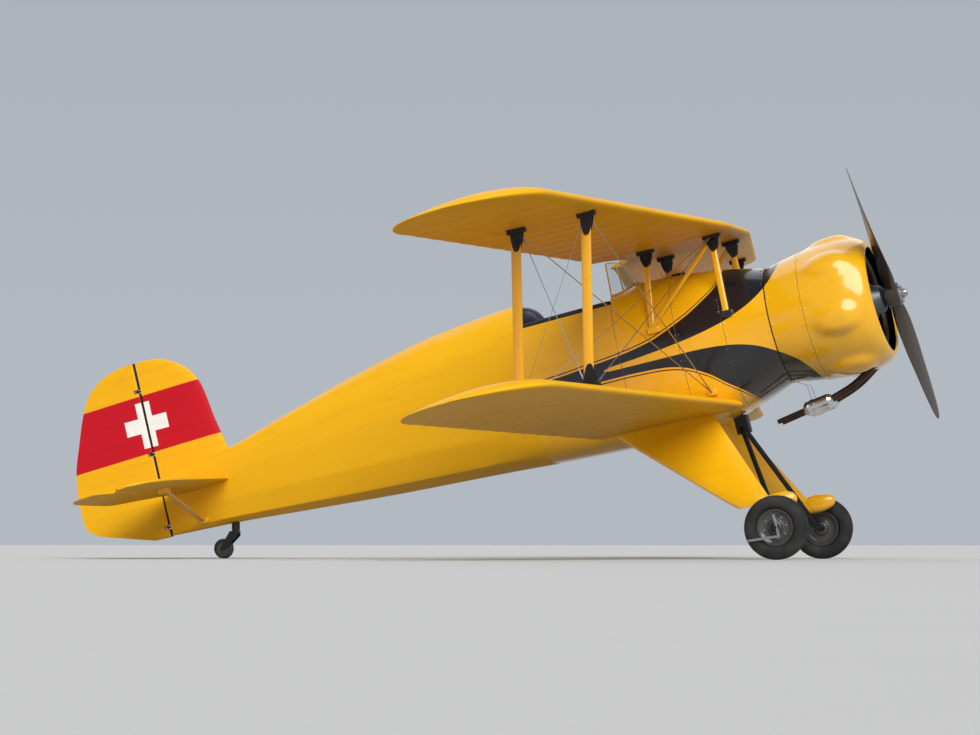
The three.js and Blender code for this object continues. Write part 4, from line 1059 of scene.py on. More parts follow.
# %% Centre section
rings = [np.insert(section(CHORD) + [UPPER["edge"], UPPER["height"]], 1, y, axis=1)
         for y in np.linspace(-CENTRE_HALF, CENTRE_HALF, 9)]
centre = add_piece("centre_section_skin", loft(rings), linen_upper, "wing_centre_section")
notch = placed(bar(-0.2, 0.2, 0.24, 96), move(UPPER["edge"] - CHORD - 0.06, 0, UPPER["height"]) @ UPRIGHT)
carve(centre, notch)
print("centre section has", len(centre.data.polygons), "faces")

# %% [markdown]
# ## Struts and wires
# The struts are steel tube drawn to a streamlined section, blunt end forward. Each ends in a fork of plate
# with a bolt through it. The wires are flat streamlined rods that end in round terminals. Flying wires hold
# the wings up in flight, landing wires hold them up on the ground, and a lighter pair crosses between the
# front and the rear strut.

# %% Streamlined bars and forks
def streamlined(chord, thick, count, widest=0.38):
    """A section with its blunt end forward, as two rows: forward and across."""
    angle = full_turn(count, 0.5)
    reach = np.where(np.cos(angle) > 0, widest, 1 - widest)
    return reach * chord * np.cos(angle), thick / 2 * np.sin(angle)


def level_ring(place, chord, thick, count=40):
    """A streamlined section that lies level."""
    forward, across = streamlined(chord, thick, count)
    return np.stack([forward, across, np.zeros(count)], 1) + np.asarray(place)


def upright_strut(a, b, chord, thick):
    return loft([level_ring(end, chord, thick, 28) for end in (a, b)])


def cross_bar(a, b, chord, thick):
    """A streamlined bar whose ends are cut square to Y."""
    forward, up = streamlined(chord, thick, 24, 0.42)
    ring = np.stack([forward, np.zeros(24), up], 1)
    return loft([ring + np.asarray(end) for end in (a, b)])


FORK_PLATE = [
    # share of the length, half width
    (0.0, 0.042), (0.35, 0.037), (0.8, 0.024), (1.0, 0.012),
]
PLATE_OUT, PLATE_HALF = 0.0165, 0.0022


def fork(end, inward, length=0.110, bolt=0.006):
    """Two plates astride a strut's end with a bolt across them."""
    end, inward = np.asarray(end, float), np.asarray(inward, float)
    inward = inward / np.linalg.norm(inward)
    lean = inward / abs(inward[2])
    plates = []
    for side in (-1, 1):
        rings = []
        for share, half in FORK_PLATE:
            centre = end + lean * length * share + [0, side * PLATE_OUT, 0]
            rings.append([centre + [dx * half, dy * PLATE_HALF, 0]
                          for dx, dy in ((-1, -1), (1, -1), (1, 1), (-1, 1))])
        plates.append(loft(rings))
    headed = turned([(-0.024, 0), (-0.024, 0.0095), (-0.0185, 0.0095), (-0.0185, bolt), (0.0185, bolt),
                     (0.0185, 0.0095), (0.024, 0.0095), (0.024, 0)], 12)
    return together(*plates, placed(headed, move(*(end + lean * length * 0.3)) @ ACROSS))


print("fork plates are", round(2000 * PLATE_HALF, 1), "mm thick")

# %% Struts
for k, place in ((0, "front"), (1, "rear")):
    top, foot = STRUT_TOPS[k] - [0, 0, 0.0003], STRUT_FEET[k] + [0, 0, 0.0003]
    strut = upright_strut(foot, top, 0.066, 0.026)
    forks = together(fork(top, foot - top), fork(foot, top - foot))
    for side, form in SIDES:
        node = f"interplane_{place}_{side}"
        add_piece(node + "_strut", form(strut), enamel_strut, node)
        add_piece(node + "_forks", form(forks), dark_steel, bevel=0.001)

CABANE_TOPS = [np.array([UPPER["edge"] - SPARS[k] * CHORD, 0.29, UPPER["height"] - UNDER_SPAR[k]])
               for k in (0, 1)]
bars = [(CABANE_FEET[0], CABANE_TOPS[0]), (CABANE_FEET[1], CABANE_TOPS[1]), (CABANE_FEET[1], CABANE_TOPS[0])]
cabane = together(*(upright_strut(a, b, 0.044, 0.020) for a, b in bars))
cabane_forks = together(*(fork(b, a - b, 0.085, 0.005) for a, b in bars[:2]))
for side, form in SIDES:
    add_piece(f"cabane_{side}_struts", form(cabane), enamel_strut, f"cabane_{side}")
    add_piece(f"cabane_{side}_forks", form(cabane_forks), dark_steel, bevel=0.001)

pads = []
for tops, sign in ((STRUT_TOPS, 1), (STRUT_FEET, -1), (CABANE_TOPS, 1)):
    for x, y, z in tops:
        low, high = sorted((z, z + sign * 0.05))
        pads.append(block((x - 0.06, y - 0.025, low), (x + 0.06, y + 0.025, high)))
add_piece("strut_pads", both_sides(together(*pads)), dark_steel, bevel=0.004)
print("interplane strut length:", round(float(np.linalg.norm(STRUT_TOPS[0] - STRUT_FEET[0])), 3), "m")

# %% Wires
def wire(a, b, width=0.0085, terminal=0.11):
    """A streamlined wire with a round terminal at each end."""
    a, b = np.asarray(a, float), np.asarray(b, float)
    along = (b - a) / np.linalg.norm(b - a)
    inner = [a + along * terminal, b - along * terminal]
    rod = tube([inner[0], (inner[0] + inner[1]) / 2, inner[1]], width / 2, 10, flat=0.45)
    ends = [tube([p, p + s * along * terminal * 0.5, p + s * along * terminal], [0.0055, 0.0055, 0.004], 12)
            for p, s in ((a, 1), (b, -1))]
    return together(rod, *ends)


foot = np.array(FLYING_FOOT)
flying = together(*(wire(foot + [0, 0.0003, 0], top + [0, -0.0253, 0.014]) for top in STRUT_TOPS))
high = CABANE_TOPS[0] + [0, 0.025, 0.014]
landing = together(*(wire(high, low + [0.040, -0.0253, -0.010]) for low in STRUT_FEET))
falling = wire(STRUT_TOPS[0] + [-0.04, 0.004, -0.03], STRUT_FEET[1] + [0.03, 0.004, 0.03], 0.006, 0.07)
rising = wire(STRUT_TOPS[1] + [0.03, -0.004, -0.03], STRUT_FEET[0] + [-0.04, -0.004, 0.03], 0.006, 0.07)
crossed = together(falling, rising)
for side, form in SIDES:
    add_piece(f"flying_wires_{side}_rods", form(flying), steel, f"flying_wires_{side}")
    add_piece(f"landing_wires_{side}_rods", form(landing), steel, f"landing_wires_{side}")
    add_piece(f"incidence_wires_{side}", form(crossed), steel)
print("wires rigged")

# %% [markdown]
# ## Cowl
# The cowl is spun from sheet and has a bulge over each cylinder's rocker box. Its outer skin is a turned
# profile, and the bulges are added as smooth swellings to the radius, which gives the soft edges that
# hammered sheet has. The inner skin follows 4 mm inside, and the front lip is rolled.

# %% Cowl skin
COWL_OUTER = [(-0.094, 0.380), (-0.125, 0.408), (-0.190, 0.436), (-0.300, 0.452), (-0.430, 0.448),
              (-0.600, 0.426), (-0.780, 0.392)]
COWL_INNER = [(-0.780, 0.388), (-0.600, 0.422), (-0.430, 0.444), (-0.300, 0.448), (-0.190, 0.431),
              (-0.125, 0.403), (-0.108, 0.385)]
LIP = [(-0.104, 0.368), (-0.101, 0.3535), (-0.093, 0.355), (-0.090, 0.362), (-0.0915, 0.371)]
CYLINDERS = 7
BULGE = {"x": -0.320, "height": 0.033, "ahead": 0.125, "behind": 0.165, "half width": 0.094}


def swelling(x, angle, radius):
    """How far the bulges push the cowl out at a station and an angle from the top."""
    stain_and_shade = 0.0
    along = (x - BULGE["x"]) / BULGE["ahead" if x > BULGE["x"] else "behind"]
    for place in full_turn(CYLINDERS):
        away = ((angle - place + np.pi) % (2 * np.pi) - np.pi) * radius / BULGE["half width"]
        stain_and_shade = np.maximum(stain_and_shade, np.exp(-(along**2 + away**2)**2.1))
    return BULGE["height"] * stain_and_shade


def cowl_ring(x, radius, bulged, count=252):
    angle = full_turn(count)
    reach = radius + (swelling(x, angle, radius) if bulged else 0)
    return np.stack([np.full(count, x), -np.sin(angle) * reach, np.cos(angle) * reach], 1)


def cowl_rings():
    stations = np.linspace(-0.780, -0.094, 46)
    outside = np.stack([stations, fair(COWL_OUTER, stations)[:, 0]], 1)
    inside = np.linspace(-0.108, -0.780, 24)
    inside = np.stack([inside, fair(COWL_INNER, inside)[:, 0]], 1)
    return [cowl_ring(x, radius, bulged)
            for rows, bulged in ((outside, True), (LIP[::-1], False), (inside, True)) for x, radius in rows]


cowl = add_piece("cowl_skin", loft(cowl_rings(), around=True), enamel_cowl, "cowl")
repaint(cowl, dark_steel, lambda centre, normal: centre.x < -0.112 and (
    normal.y * centre.y + normal.z * centre.z) < 0)
PIPE_ROUTE = [(-0.165, 0.050, -0.296), (-0.195, 0.052, -0.372), (-0.262, 0.054, -0.436),
              (-0.400, 0.062, -0.516), (-0.570, 0.074, -0.572)]
pipe_line = smooth_line(PIPE_ROUTE, 8)
for side in (1, -1):
    carve(cowl, tube(pipe_line * [1, side, 1], 0.029, 24))
cowl_studs = [stud_row(cowl_ring(x, fair(COWL_OUTER, x)[0][0], True, 200), 0.1)
              for x in (COWL_SEAM + FROM_SEAM, COWL_SEAM - FROM_SEAM, -0.766)]
add_piece("cowl_studs", together(*cowl_studs), enamel_cowl, soft=50)
print("cowl:", len(cowl.data.polygons), "faces")

# %% [markdown]
# ## Engine
# Behind the mouth of the cowl sits a seven-cylinder radial. What makes it look like an engine is its depth:
# thin cooling fins round each barrel, a finned head with two rocker boxes, two push-rod tubes that run out
# from the nose case to each head, and the ignition leads. A barrel's fins are 3 mm thick, 8.5 mm apart.

# %% Cylinders
def finned(start, end, inner, outer, pitch=0.0085, thick=0.0028, sides=40, draft=0.0006):
    """A finned barrel along +X, whose fins are thinner at the rim by the draft on each side."""
    profile = [(start, 0), (start, inner)]
    for place in np.arange(start + pitch / 2, end - thick, pitch):
        after = place + thick
        profile += [(place, inner), (place + draft, outer), (after - draft, outer), (after, inner)]
    return turned([*profile, (end, inner), (end, 0)], sides)


CYLINDER_X = -0.330
barrel = placed(finned(0.160, 0.286, 0.047, 0.0595), move(CYLINDER_X, 0, 0) @ UPRIGHT)
head = placed(finned(0.286, 0.396, 0.058, 0.0735, 0.0105, 0.004), move(CYLINDER_X, 0, 0) @ UPRIGHT)
rockers = [block((x - 0.026, -0.021, 0.372), (x + 0.026, 0.021, 0.412)) for x in (-0.372, -0.288)]
port = placed(bar(0, 0.090, 0.027), move(CYLINDER_X, 0, 0.300))
rod_line = smooth_line([(-0.205, -0.026, 0.142), (-0.238, -0.03, 0.23), (-0.272, -0.02, 0.375)])
plug_line = [(-0.262, -0.03, 0.345), (-0.245, -0.036, 0.350), (-0.225, -0.042, 0.355)]
lead_line = smooth_line([(-0.226, -0.042, 0.355), (-0.206, -0.05, 0.33), (-0.21, -0.055, 0.25),
                         (-0.235, -0.06, 0.19)])


def star(*shapes):
    """The same shapes at each of the seven cylinders."""
    return ring_of(together(*shapes), CYLINDERS)


add_piece("cylinders", star(barrel, head), cast_aluminium, "engine", soft=40)
add_piece("rocker_boxes", star(*rockers), crankcase_grey, bevel=0.005)
add_piece("exhaust_ports", star(port), exhaust_steel)
add_piece("push_rod_tubes", star(both_sides(tube(rod_line, 0.0085, 12))), bright_steel)
add_piece("spark_plugs", star(both_sides(tube(plug_line, [0.009, 0.007, 0.006], 12))), steel)
add_piece("ignition_leads", star(both_sides(tube(lead_line, 0.0035, 8))), rubber)

# %% Crankcase
case_profile = [(-0.064, 0), (-0.064, 0.055), (-0.068, 0.062), (-0.076, 0.080), (-0.082, 0.088),
                (-0.150, 0.108), (-0.154, 0.118), (-0.160, 0.118), (-0.164, 0.112), (-0.215, 0.148),
                (-0.222, 0.160), (-0.240, 0.165), (-0.425, 0.165), (-0.450, 0.140), (-0.739, 0.130),
                (-0.739, 0)]
case_bolt = bar(0, 0.008, 0.0075, 6)
case_bolts = [ring_of(placed(case_bolt, move(x, 0, radius)), count, 0.5)
              for count, x, radius in ((12, -0.150, 0.110), (14, -0.218, 0.150))]
add_piece("crankcase", turned(case_profile, 72), crankcase_grey, bevel=0.002)
add_piece("crankcase_bolts", together(*case_bolts), steel)
add_piece("ignition_harness_ring", hoop(-0.226, 0.186, 0.008, 12, 72), steel)
print("engine built with", CYLINDERS, "cylinders")

# %% [markdown]
# ## Exhaust
# A ring ahead of the cylinders collects the gas, and two pipes leave it under the cowl. Heat has browned the
# steel. Behind the cowl each pipe runs into a short polished can, hung from the firewall on a strap, and a
# thin pipe goes on from it. That pipe is open at its end, and dark inside.

# %% Collector ring and tail pipes
collector = hoop(-0.160, 0.300, 0.025, 24, 112)
branch = turned([(0, 0), (0, 0.0235), (0.012, 0.0235), (0.012, 0.021), (0.0797, 0.021), (0.0797, 0)], 28)
branch = placed(branch, move(-0.2397, 0, 0.300))


def open_pipe(line, outer, inner, depth):
    """A pipe that is open at its far end: its skin turns back there and runs inside for some points."""
    path, along = (np.vstack([rows, rows[::-1][:depth]]) for rows in (line, directions(line)))
    radii = [*([outer] * (len(line) - 1)), outer - 0.001, inner + 0.0005, *([inner] * (depth - 1))]
    return sweep(path, along, radii, 28)


CAN_FRONT, CAN_REAR, TAIL_END = (-0.550, 0.074, -0.570), (-0.765, 0.074, -0.598), (-0.950, 0.074, -0.628)
tail_line = np.linspace(np.add(CAN_REAR, (0.01, 0, 0.0014)), TAIL_END, 9)
pipes = both_sides(together(tube(pipe_line, 0.024, 28), open_pipe(tail_line, 0.016, 0.0138, 5)))
add_piece("collector_and_pipes", together(collector, star(branch), pipes), exhaust_steel, "exhaust")
can = turned([(0, 0), (0, 0.026), (0.004, 0.034), (0.016, 0.044), (0.032, 0.0485), (0.036, 0.0500),
              (0.042, 0.0500), (0.045, 0.0488), (0.172, 0.0488), (0.175, 0.0500), (0.181, 0.0500),
              (0.185, 0.0485), (0.200, 0.040), (0.212, 0.024), (0.2165, 0.017), (0.2165, 0)], 64)
strap = ribbon([(-0.694, 0.074, -0.538), (-0.698, 0.074, -0.480), (-0.706, 0.074, -0.440),
                (-0.735, 0.074, -0.419), (-0.806, 0.074, -0.383)], (0, 1, 0), 0.028, 0.003)
band = turned([(0.128, 0.0492), (0.128, 0.0516), (0.156, 0.0516), (0.156, 0.0492)], 64, around=True)
backward = pointing(CAN_FRONT, np.subtract(CAN_REAR, CAN_FRONT))
cans = together(placed(together(can, band), backward), strap)
add_piece("exhaust_cans", both_sides(cans), bright_steel, bevel=0.0006, soft=40)
print("thin pipes end at", np.round(tail_line[-1], 3))

# %% [markdown]
# ## Propeller
# Two blades of laminated wood, dark lacquered, thick and steep at the root and thin and flat toward the tip.
# The blade is a loft of airfoil-like sections, each turned to its own angle for one pitch, as a screw is.

# %% Blades and hub
BLADE = [
    # radius, chord, thickness
    (0.060, 0.084, 0.060), (0.140, 0.104, 0.054), (0.280, 0.142, 0.034), (0.480, 0.168, 0.023),
    (0.700, 0.160, 0.015), (0.880, 0.128, 0.010), (0.980, 0.084, 0.007), (1.020, 0.036, 0.005),
]
PITCH = 1.3


def blade_ring(radius, count=32):
    chord, thick = fair(BLADE, radius)[0]
    twist = min(math.radians(55), math.atan2(PITCH, 2 * math.pi * radius))
    angle = full_turn(count, 0.5)
    lead = np.cos(angle)
    full = np.sin(angle) * np.where(lead > 0, 1, 1 + 0.35 * lead * (1 - ease(radius, 0.06, 0.2)))
    airfoil = 1 - 0.45 * ease(radius, 0.12, 0.4) * (1 - lead) / 2
    along, across = chord / 2 * lead, thick / 2 * full * airfoil
    x = -0.009 + along * math.sin(twist) + across * math.cos(twist)
    y = across * math.sin(twist) - along * math.cos(twist)
    return np.stack([x, y, np.full(count, radius)], 1)


TIP, TIP_ROUND = 1.0195, 0.04
rounded = TIP - TIP_ROUND * np.cos(np.linspace(0.2, math.pi / 2, 8))
stations = np.concatenate([np.linspace(0.06, 0.98, 40), rounded])
blade = loft([blade_ring(radius) for radius in stations])
boss = turned([(-0.052, 0.031), (-0.052, 0.074), (-0.047, 0.080), (0.029, 0.080), (0.034, 0.074),
               (0.034, 0.031)], 64, around=True)
rest = about_x(BLADE_REST)
blades = placed(together(ring_of(blade, 2), boss), rest)
add_piece("propeller_blades_lacquered", blades, lacquer, "propeller_blades", "propeller",
          soft=40)

hub_bolt = turned([(0.046, 0), (0.046, 0.0075), (0.0535, 0.0075), (0.055, 0.006), (0.055, 0)], 6)
hub_bolts = ring_of(placed(hub_bolt, move(0, 0, 0.050)), 8, 0.5)
hub_profile = [(-0.140, 0), (-0.140, 0.030), (0.0343, 0.030), (0.0343, 0.062), (0.0463, 0.062),
               (0.0463, 0.034), (0.050, 0.034), (0.050, 0.030), (0.068, 0.030), (0.074, 0.024),
               (0.0863, 0.020), (0.0863, 0.012), (0.078, 0.011), (0.078, 0)]
add_piece("propeller_hub_turned", placed(together(turned(hub_profile, 48), hub_bolts), rest), steel,
          "propeller_hub", "propeller", bevel=0.001)
print("propeller diameter:", round(2 * float(stations[-1]), 3), "m")

# %% [markdown]
# ## Tail
# The fin, rudder, tailplane and elevator are steel tube frames under linen, thin and nearly flat, with round
# outlines. The rudder and the elevator turn on a round nose behind the fixed surface. Notches in the rudder's
# nose make room for its hinges.

# %% Tail outlines
TAIL_SECTION = [(0, 0.25), (0.03, 0.48), (0.06, 0.62), (0.14, 0.83), (0.25, 0.95), (0.4, 1.0), (0.55, 1.0),
                (0.8, 0.94), (1, 0.85)]
FIN = [
    # height, leading edge, half thickness
    (0.020, -4.740, 0.026), (0.180, -4.775, 0.026), (0.390, -4.820, 0.025), (0.640, -4.862, 0.022),
    (0.760, -4.925, 0.019), (0.840, -5.020, 0.015), (0.885, -5.120, 0.011), (0.900, -5.200, 0.008),
]
RUDDER = [
    # height, trailing edge
    (-0.338, -5.440), (-0.300, -5.560), (-0.255, -5.700), (-0.205, -5.850), (-0.130, -5.925), (0.020, -5.935),
    (0.230, -5.912), (0.450, -5.838), (0.660, -5.752), (0.760, -5.690), (0.840, -5.590), (0.885, -5.470),
    (0.900, -5.390),
]
TAILPLANE = [
    # out from the middle, leading edge, half thickness
    (0.0, -4.780, 0.026), (0.600, -4.838, 0.024), (0.930, -4.885, 0.020), (1.110, -4.945, 0.016),
    (1.200, -5.025, 0.012), (1.240, -5.105, 0.008),
]
ELEVATOR = [
    # out from the middle, trailing edge
    (0.068, -5.262), (0.110, -5.335), (0.290, -5.588), (0.420, -5.602), (0.900, -5.598), (1.090, -5.550),
    (1.190, -5.460), (1.240, -5.340),
]
RUDDER_X, ELEVATOR_X, ELEVATOR_Z, NOSE, GAP = -5.330, -5.200, -0.050, 0.024, 0.008
HINGE_HEIGHTS, NOTCH_HALF = (0.250, 0.700, -0.270), 0.014
TAIL_SAG = 0.0016
SURFACE_TAPER = [
    # share of the way back from the hinge, share of the nose's radius
    (0.25, 0.80), (0.5, 0.56), (0.75, 0.33),
]
print("fin and rudder stand", FIN[-1][0], "m above the thrust line")

# %% Sections of the tail surfaces
def spread(rows, steps, close=0.25):
    """Stations along a table, closer together toward its far end, where the outline turns in."""
    low, high = rows[0][0], rows[-1][0]
    share = np.linspace(0, 1, steps)
    return low + (high - low) * (share + close * np.sin(np.pi * share) / np.pi)


def fixed_ring(front, back, half, place):
    sides = [[place(front + (back - front) * share, sign * half * thick) for share, thick in TAIL_SECTION]
             for sign in (1, -1)]
    return [*sides[0][::-1], *sides[1]]


def hinged_ring(hinge, trailing, place, sag=0.0):
    arc = [place(hinge + NOSE * math.cos(angle), NOSE * math.sin(angle))
           for angle in np.linspace(math.pi / 2, -math.pi / 2, 17)]
    taper = [(hinge + (trailing - hinge) * share, NOSE * keep - TAIL_SAG * sag)
             for share, keep in SURFACE_TAPER]
    top = [place(x, half) for x, half in taper][::-1]
    low = [place(x, -half) for x, half in taper]
    return [place(trailing, 0.003), *top, *arc, *low, place(trailing, -0.003)]


def rib_sag(at, first, pitch):
    share = ((abs(at) - first) / pitch) % 1
    return 4 * share * (1 - share)


print("the linen of the tail sinks by", TAIL_SAG * 1000, "mm between ribs")

# %% Fin, rudder, tailplane and elevator
fin_rings = [fixed_ring(front, RUDDER_X + NOSE + GAP, half, lambda x, y, z=z: (x, y, z))
             for z, (front, half) in ((z, fair(FIN, z)[0]) for z in spread(FIN, 44))]
fin = add_piece("fin_skin", loft(fin_rings), linen_fin, "fin", soft=40)
rudder_rings = [hinged_ring(RUDDER_X, fair(RUDDER, z)[0][0], lambda x, y, z=z: (x, y, z),
                            rib_sag(z, *FIN_RIBS)) for z in spread(RUDDER, 90)]
rudder = add_piece("rudder_skin", loft(rudder_rings), linen_fin, "rudder", "rudder_body", soft=40)
for z in HINGE_HEIGHTS:
    notch = block((RUDDER_X - 0.02, -0.06, z - NOTCH_HALF), (RUDDER_X + 0.06, 0.06, z + NOTCH_HALF))
    carve(rudder, notch, soft=40)
# Painted shadow in the rudder's hinge gap: the fin's rear face and the front of the rudder's nose are dark
# brown.
repaint(fin, painted_gap_shade, lambda centre, normal: normal.x < -0.9)
repaint(rudder, painted_gap_shade, lambda centre, normal: centre.x > RUDDER_X + 0.015)

plan = [(-y, front, half) for y, front, half in TAILPLANE[:0:-1]] + TAILPLANE
stations = np.concatenate([-spread(TAILPLANE, 34)[:0:-1], spread(TAILPLANE, 34)])
tail_rings = [fixed_ring(front, ELEVATOR_X + NOSE + GAP, half, lambda x, z, y=y: (x, y, ELEVATOR_Z + z))
              for y, (front, half) in ((y, fair(plan, y)[0]) for y in stations)]
tailplane = add_piece("tailplane_skin", loft(tail_rings), linen_tail, "tailplane", soft=40)
# Painted shadow in the elevator's hinge gap: the tailplane's rear face is dark brown.
repaint(tailplane, painted_gap_shade, lambda centre, normal: normal.x < -0.9)
half_rings = [hinged_ring(ELEVATOR_X, fair(ELEVATOR, y)[0][0], lambda x, z, y=y: (x, y, ELEVATOR_Z + z),
                          rib_sag(y, *TAIL_RIBS)) for y in spread(ELEVATOR, 70)]
add_piece("elevator_skin", both_sides(loft(half_rings)), linen_tail, "elevator",
          "elevator_body", soft=40)
torque_tube = placed(bar(-0.078, 0.078, 0.014), move(ELEVATOR_X, 0, ELEVATOR_Z) @ ACROSS)
add_piece("elevator_torque_tube", torque_tube, steel, body="elevator_body")
print("rudder has", len(rudder.data.polygons), "faces")

# %% Hinges and tail struts
lugs = []
for z in HINGE_HEIGHTS:
    lug_end = RUDDER_X + NOSE + GAP + 0.02
    lugs.append(block((RUDDER_X - 0.008, -0.008, z - 0.007), (lug_end, 0.008, z + 0.007)))
    lugs.append(placed(bar(-0.026, 0.026, 0.006, 16), move(RUDDER_X, 0, z) @ UPRIGHT))
add_piece("rudder_hinges", together(*lugs), dark_steel, bevel=0.001)

tail_strut = cross_bar((-5.040, 0.0843, -0.292), (-5.040, 0.6797, -0.090), 0.042, 0.016)
anchors = block((-5.074, 0.03, -0.310), (-5.006, 0.084, -0.274))
pads = block((-5.08, 0.68, -0.104), (-5.0, 0.72, -0.066))
for side, form in SIDES:
    add_piece(f"tail_strut_{side}_bar", form(tail_strut), enamel_strut, f"tail_strut_{side}")
add_piece("tail_strut_blocks", both_sides(together(anchors, pads)), enamel_plain,
          bevel=0.004)
print("tail hinges:", len(HINGE_HEIGHTS))

# %% [markdown]
# ## Landing gear
# Each main leg is a wide sheet fairing over two steel tubes. It narrows toward the wheel and ends in a
# rounded toe. A short sprung leg comes out below it and carries the axle, and a half axle runs from there to
# the bracket under the belly. A bent flat bar is bolted to the axle's end outside the wheel. The wheel has a
# smooth dark disc and a tyre with plain grooves.

# %% Legs and axles
LEG = [
    # height, front, rear, out, thickness
    (-0.440, -1.330, -2.030, 0.270, 0.096), (-0.530, -1.300, -1.940, 0.303, 0.092),
    (-1.000, -1.078, -1.412, 0.545, 0.076), (-1.100, -1.030, -1.300, 0.600, 0.084),
    (-1.160, -1.003, -1.225, 0.630, 0.062),
]
WHEEL = (-0.990, 0.750, -1.340)
LEG_FOOT_OUT = 0.630
leg_rings = []
rows = np.array(LEG[::-1])
for z in np.linspace(LEG[-1][0], LEG[0][0], 40):
    front, back, out = (np.interp(z, rows[:, 0], rows[:, k]) for k in (1, 2, 3))
    leg_rings.append(level_ring((front - 0.38 * (front - back), out, z), front - back, fair(LEG, z)[0][3]))
leg = loft(leg_rings)

TOE = {"middle": (-0.965, LEG_FOOT_OUT, -1.176), "half size": (0.130, 0.043, 0.061), "roundness": 2.3}
shares = np.sin(np.linspace(-math.pi / 2, math.pi / 2, 27)) * 0.999
sizes = (1 - np.abs(shares)**TOE["roundness"])**(1 / TOE["roundness"])
turn = full_turn(48)
toe_rings = [np.stack([np.full(48, share), size * np.cos(turn), size * np.sin(turn)], 1)
             for share, size in zip(shares, sizes)]
toe = loft(np.array(toe_rings) * TOE["half size"] + TOE["middle"])

wx, wy, wz = WHEEL
sprung = loft([level_ring((-1.075, LEG_FOOT_OUT, -1.1603), 0.066, 0.050),
               level_ring((wx - 0.004, LEG_FOOT_OUT, wz + 0.012), 0.060, 0.046)])
stub = turned([(0.596, 0), (0.596, 0.022), (0.800, 0.022), (0.800, 0.031), (0.812, 0.031), (0.812, 0.016),
               (0.832, 0.016), (0.834, 0.013), (0.834, 0)], 32)
stub = placed(stub, move(wx, 0, wz) @ ACROSS)
bent = [(-0.984, -1.256), (-0.968, -1.256), (-0.963, -1.411), (-1.179, -1.391), (-1.180, -1.375),
        (-0.981, -1.393)]
bent_bar = loft([[(x, y, z) for x, z in bent] for y in (0.820, 0.825)])
half_axle = cross_bar((wx, LEG_FOOT_OUT, wz), (-1.200, 0.0403, -0.610), 0.034, 0.034)
for side, form in SIDES:
    add_piece(f"gear_leg_{side}_fairing", form(together(leg, toe)), enamel_plain, f"gear_leg_{side}",
              soft=40)
    add_piece(f"axle_{side}_bar", form(bent_bar), steel, bevel=0.0008)
    add_piece(f"axle_{side}_steel", form(together(sprung, stub, half_axle)), dark_steel, f"axle_{side}")

# %% Wheels
TREAD = 0.2085


def wheel_shape(half, sides=96, place=WHEEL):
    """A ring turned about Y, the left wheel's unless told otherwise. half is distance and radius."""
    other = [(-distance, radius) for distance, radius in half[::-1]]
    return placed(turned([*half, *other], sides, around=True), move(*place) @ ACROSS)


carcass = smooth_line([(0.040, 0.120, 0), (0.0585, 0.135, 0), (0.0645, 0.160, 0), (0.059, 0.185, 0),
                       (0.047, 0.199, 0), (0.034, 0.206, 0)], 5)[:, :2]
tyre_half = [*map(tuple, carcass), (0.027, 0.2075), (0.0245, 0.2035), (0.0215, 0.2035), (0.019, TREAD),
             (0.0075, TREAD), (0.005, 0.2045), (0.0015, 0.2045)]
disc_half = [(0.049, 0.0229), (0.049, 0.036), (0.046, 0.042), (0.030, 0.052), (0.0265, 0.060),
             (0.0285, 0.085), (0.036, 0.102), (0.0425, 0.109), (0.0435, 0.116), (0.041, 0.1197),
             (0.020, 0.1197)]
valve = turned([(0, 0), (0, 0.004), (0.022, 0.003), (0.022, 0)], 12)
valve = placed(valve, move(wx, wy + 0.034, wz + 0.096) @ ACROSS)
wheel_bolts = ring_of(placed(bar(0.026, 0.034, 0.0065, 6), move(0, 0, 0.074)), 8)
wheel_bolts = placed(wheel_bolts, move(*WHEEL) @ ACROSS)
for side, form in SIDES:
    body = f"wheel_{side}"
    add_piece(f"tyre_{side}_rubber", form(wheel_shape(tyre_half, 112)), rubber, f"tyre_{side}", body)
    add_piece(f"wheel_{side}_disc", form(wheel_shape(disc_half)), enamel_disc, f"wheel_hub_{side}",
              body)
    add_piece(f"wheel_{side}_bolts", form(together(wheel_bolts, valve)), steel, body=body)
print("main tyre stands at", round((LEVEL_TO_PARKED @ Vector(WHEEL)).z - TREAD, 4), "m")

# %% Tail wheel
TAIL_WHEEL, TAIL_TREAD = (-4.965, 0.0, -0.510), 0.069
tail_tyre = [(0.018, 0.0089), (0.018, 0.028), (0.012, 0.034), (0.014, 0.042), (0.0205, 0.045),
             (0.0225, 0.052), (0.019, 0.062), (0.011, 0.0685), (0.004, TAIL_TREAD)]
tail_ring = wheel_shape(tail_tyre, 72, TAIL_WHEEL)
small_wheel = add_piece("tail_wheel_tyre", tail_ring, rubber, "tail_wheel", "tail_wheel_body")
hub_centre = Vector(TAIL_WHEEL)
repaint(small_wheel, enamel_disc, lambda centre, normal: (centre - hub_centre).xz.length < 0.0435)
print("tail wheel stands at", round((LEVEL_TO_PARKED @ hub_centre).z - TAIL_TREAD, 4), "m")

# %% [markdown]
# ## Cockpit fittings
# Soft edges are what a cockpit shows first: a leather roll along the sill and a padded headrest. The roll is
# a tube along the sill's line. The headrest starts as a smaller block and is blown up by a cloth simulation,
# so that it crowns between its edges as a stuffed pad does.

# %% Sill roll
def sill_edge(x):
    top, _, half, waist, roundness, _ = fair(FUSELAGE, x)[0]
    return half * (1 - ((SILL - waist) / (top - waist))**roundness)**(1 / roundness) - 0.014


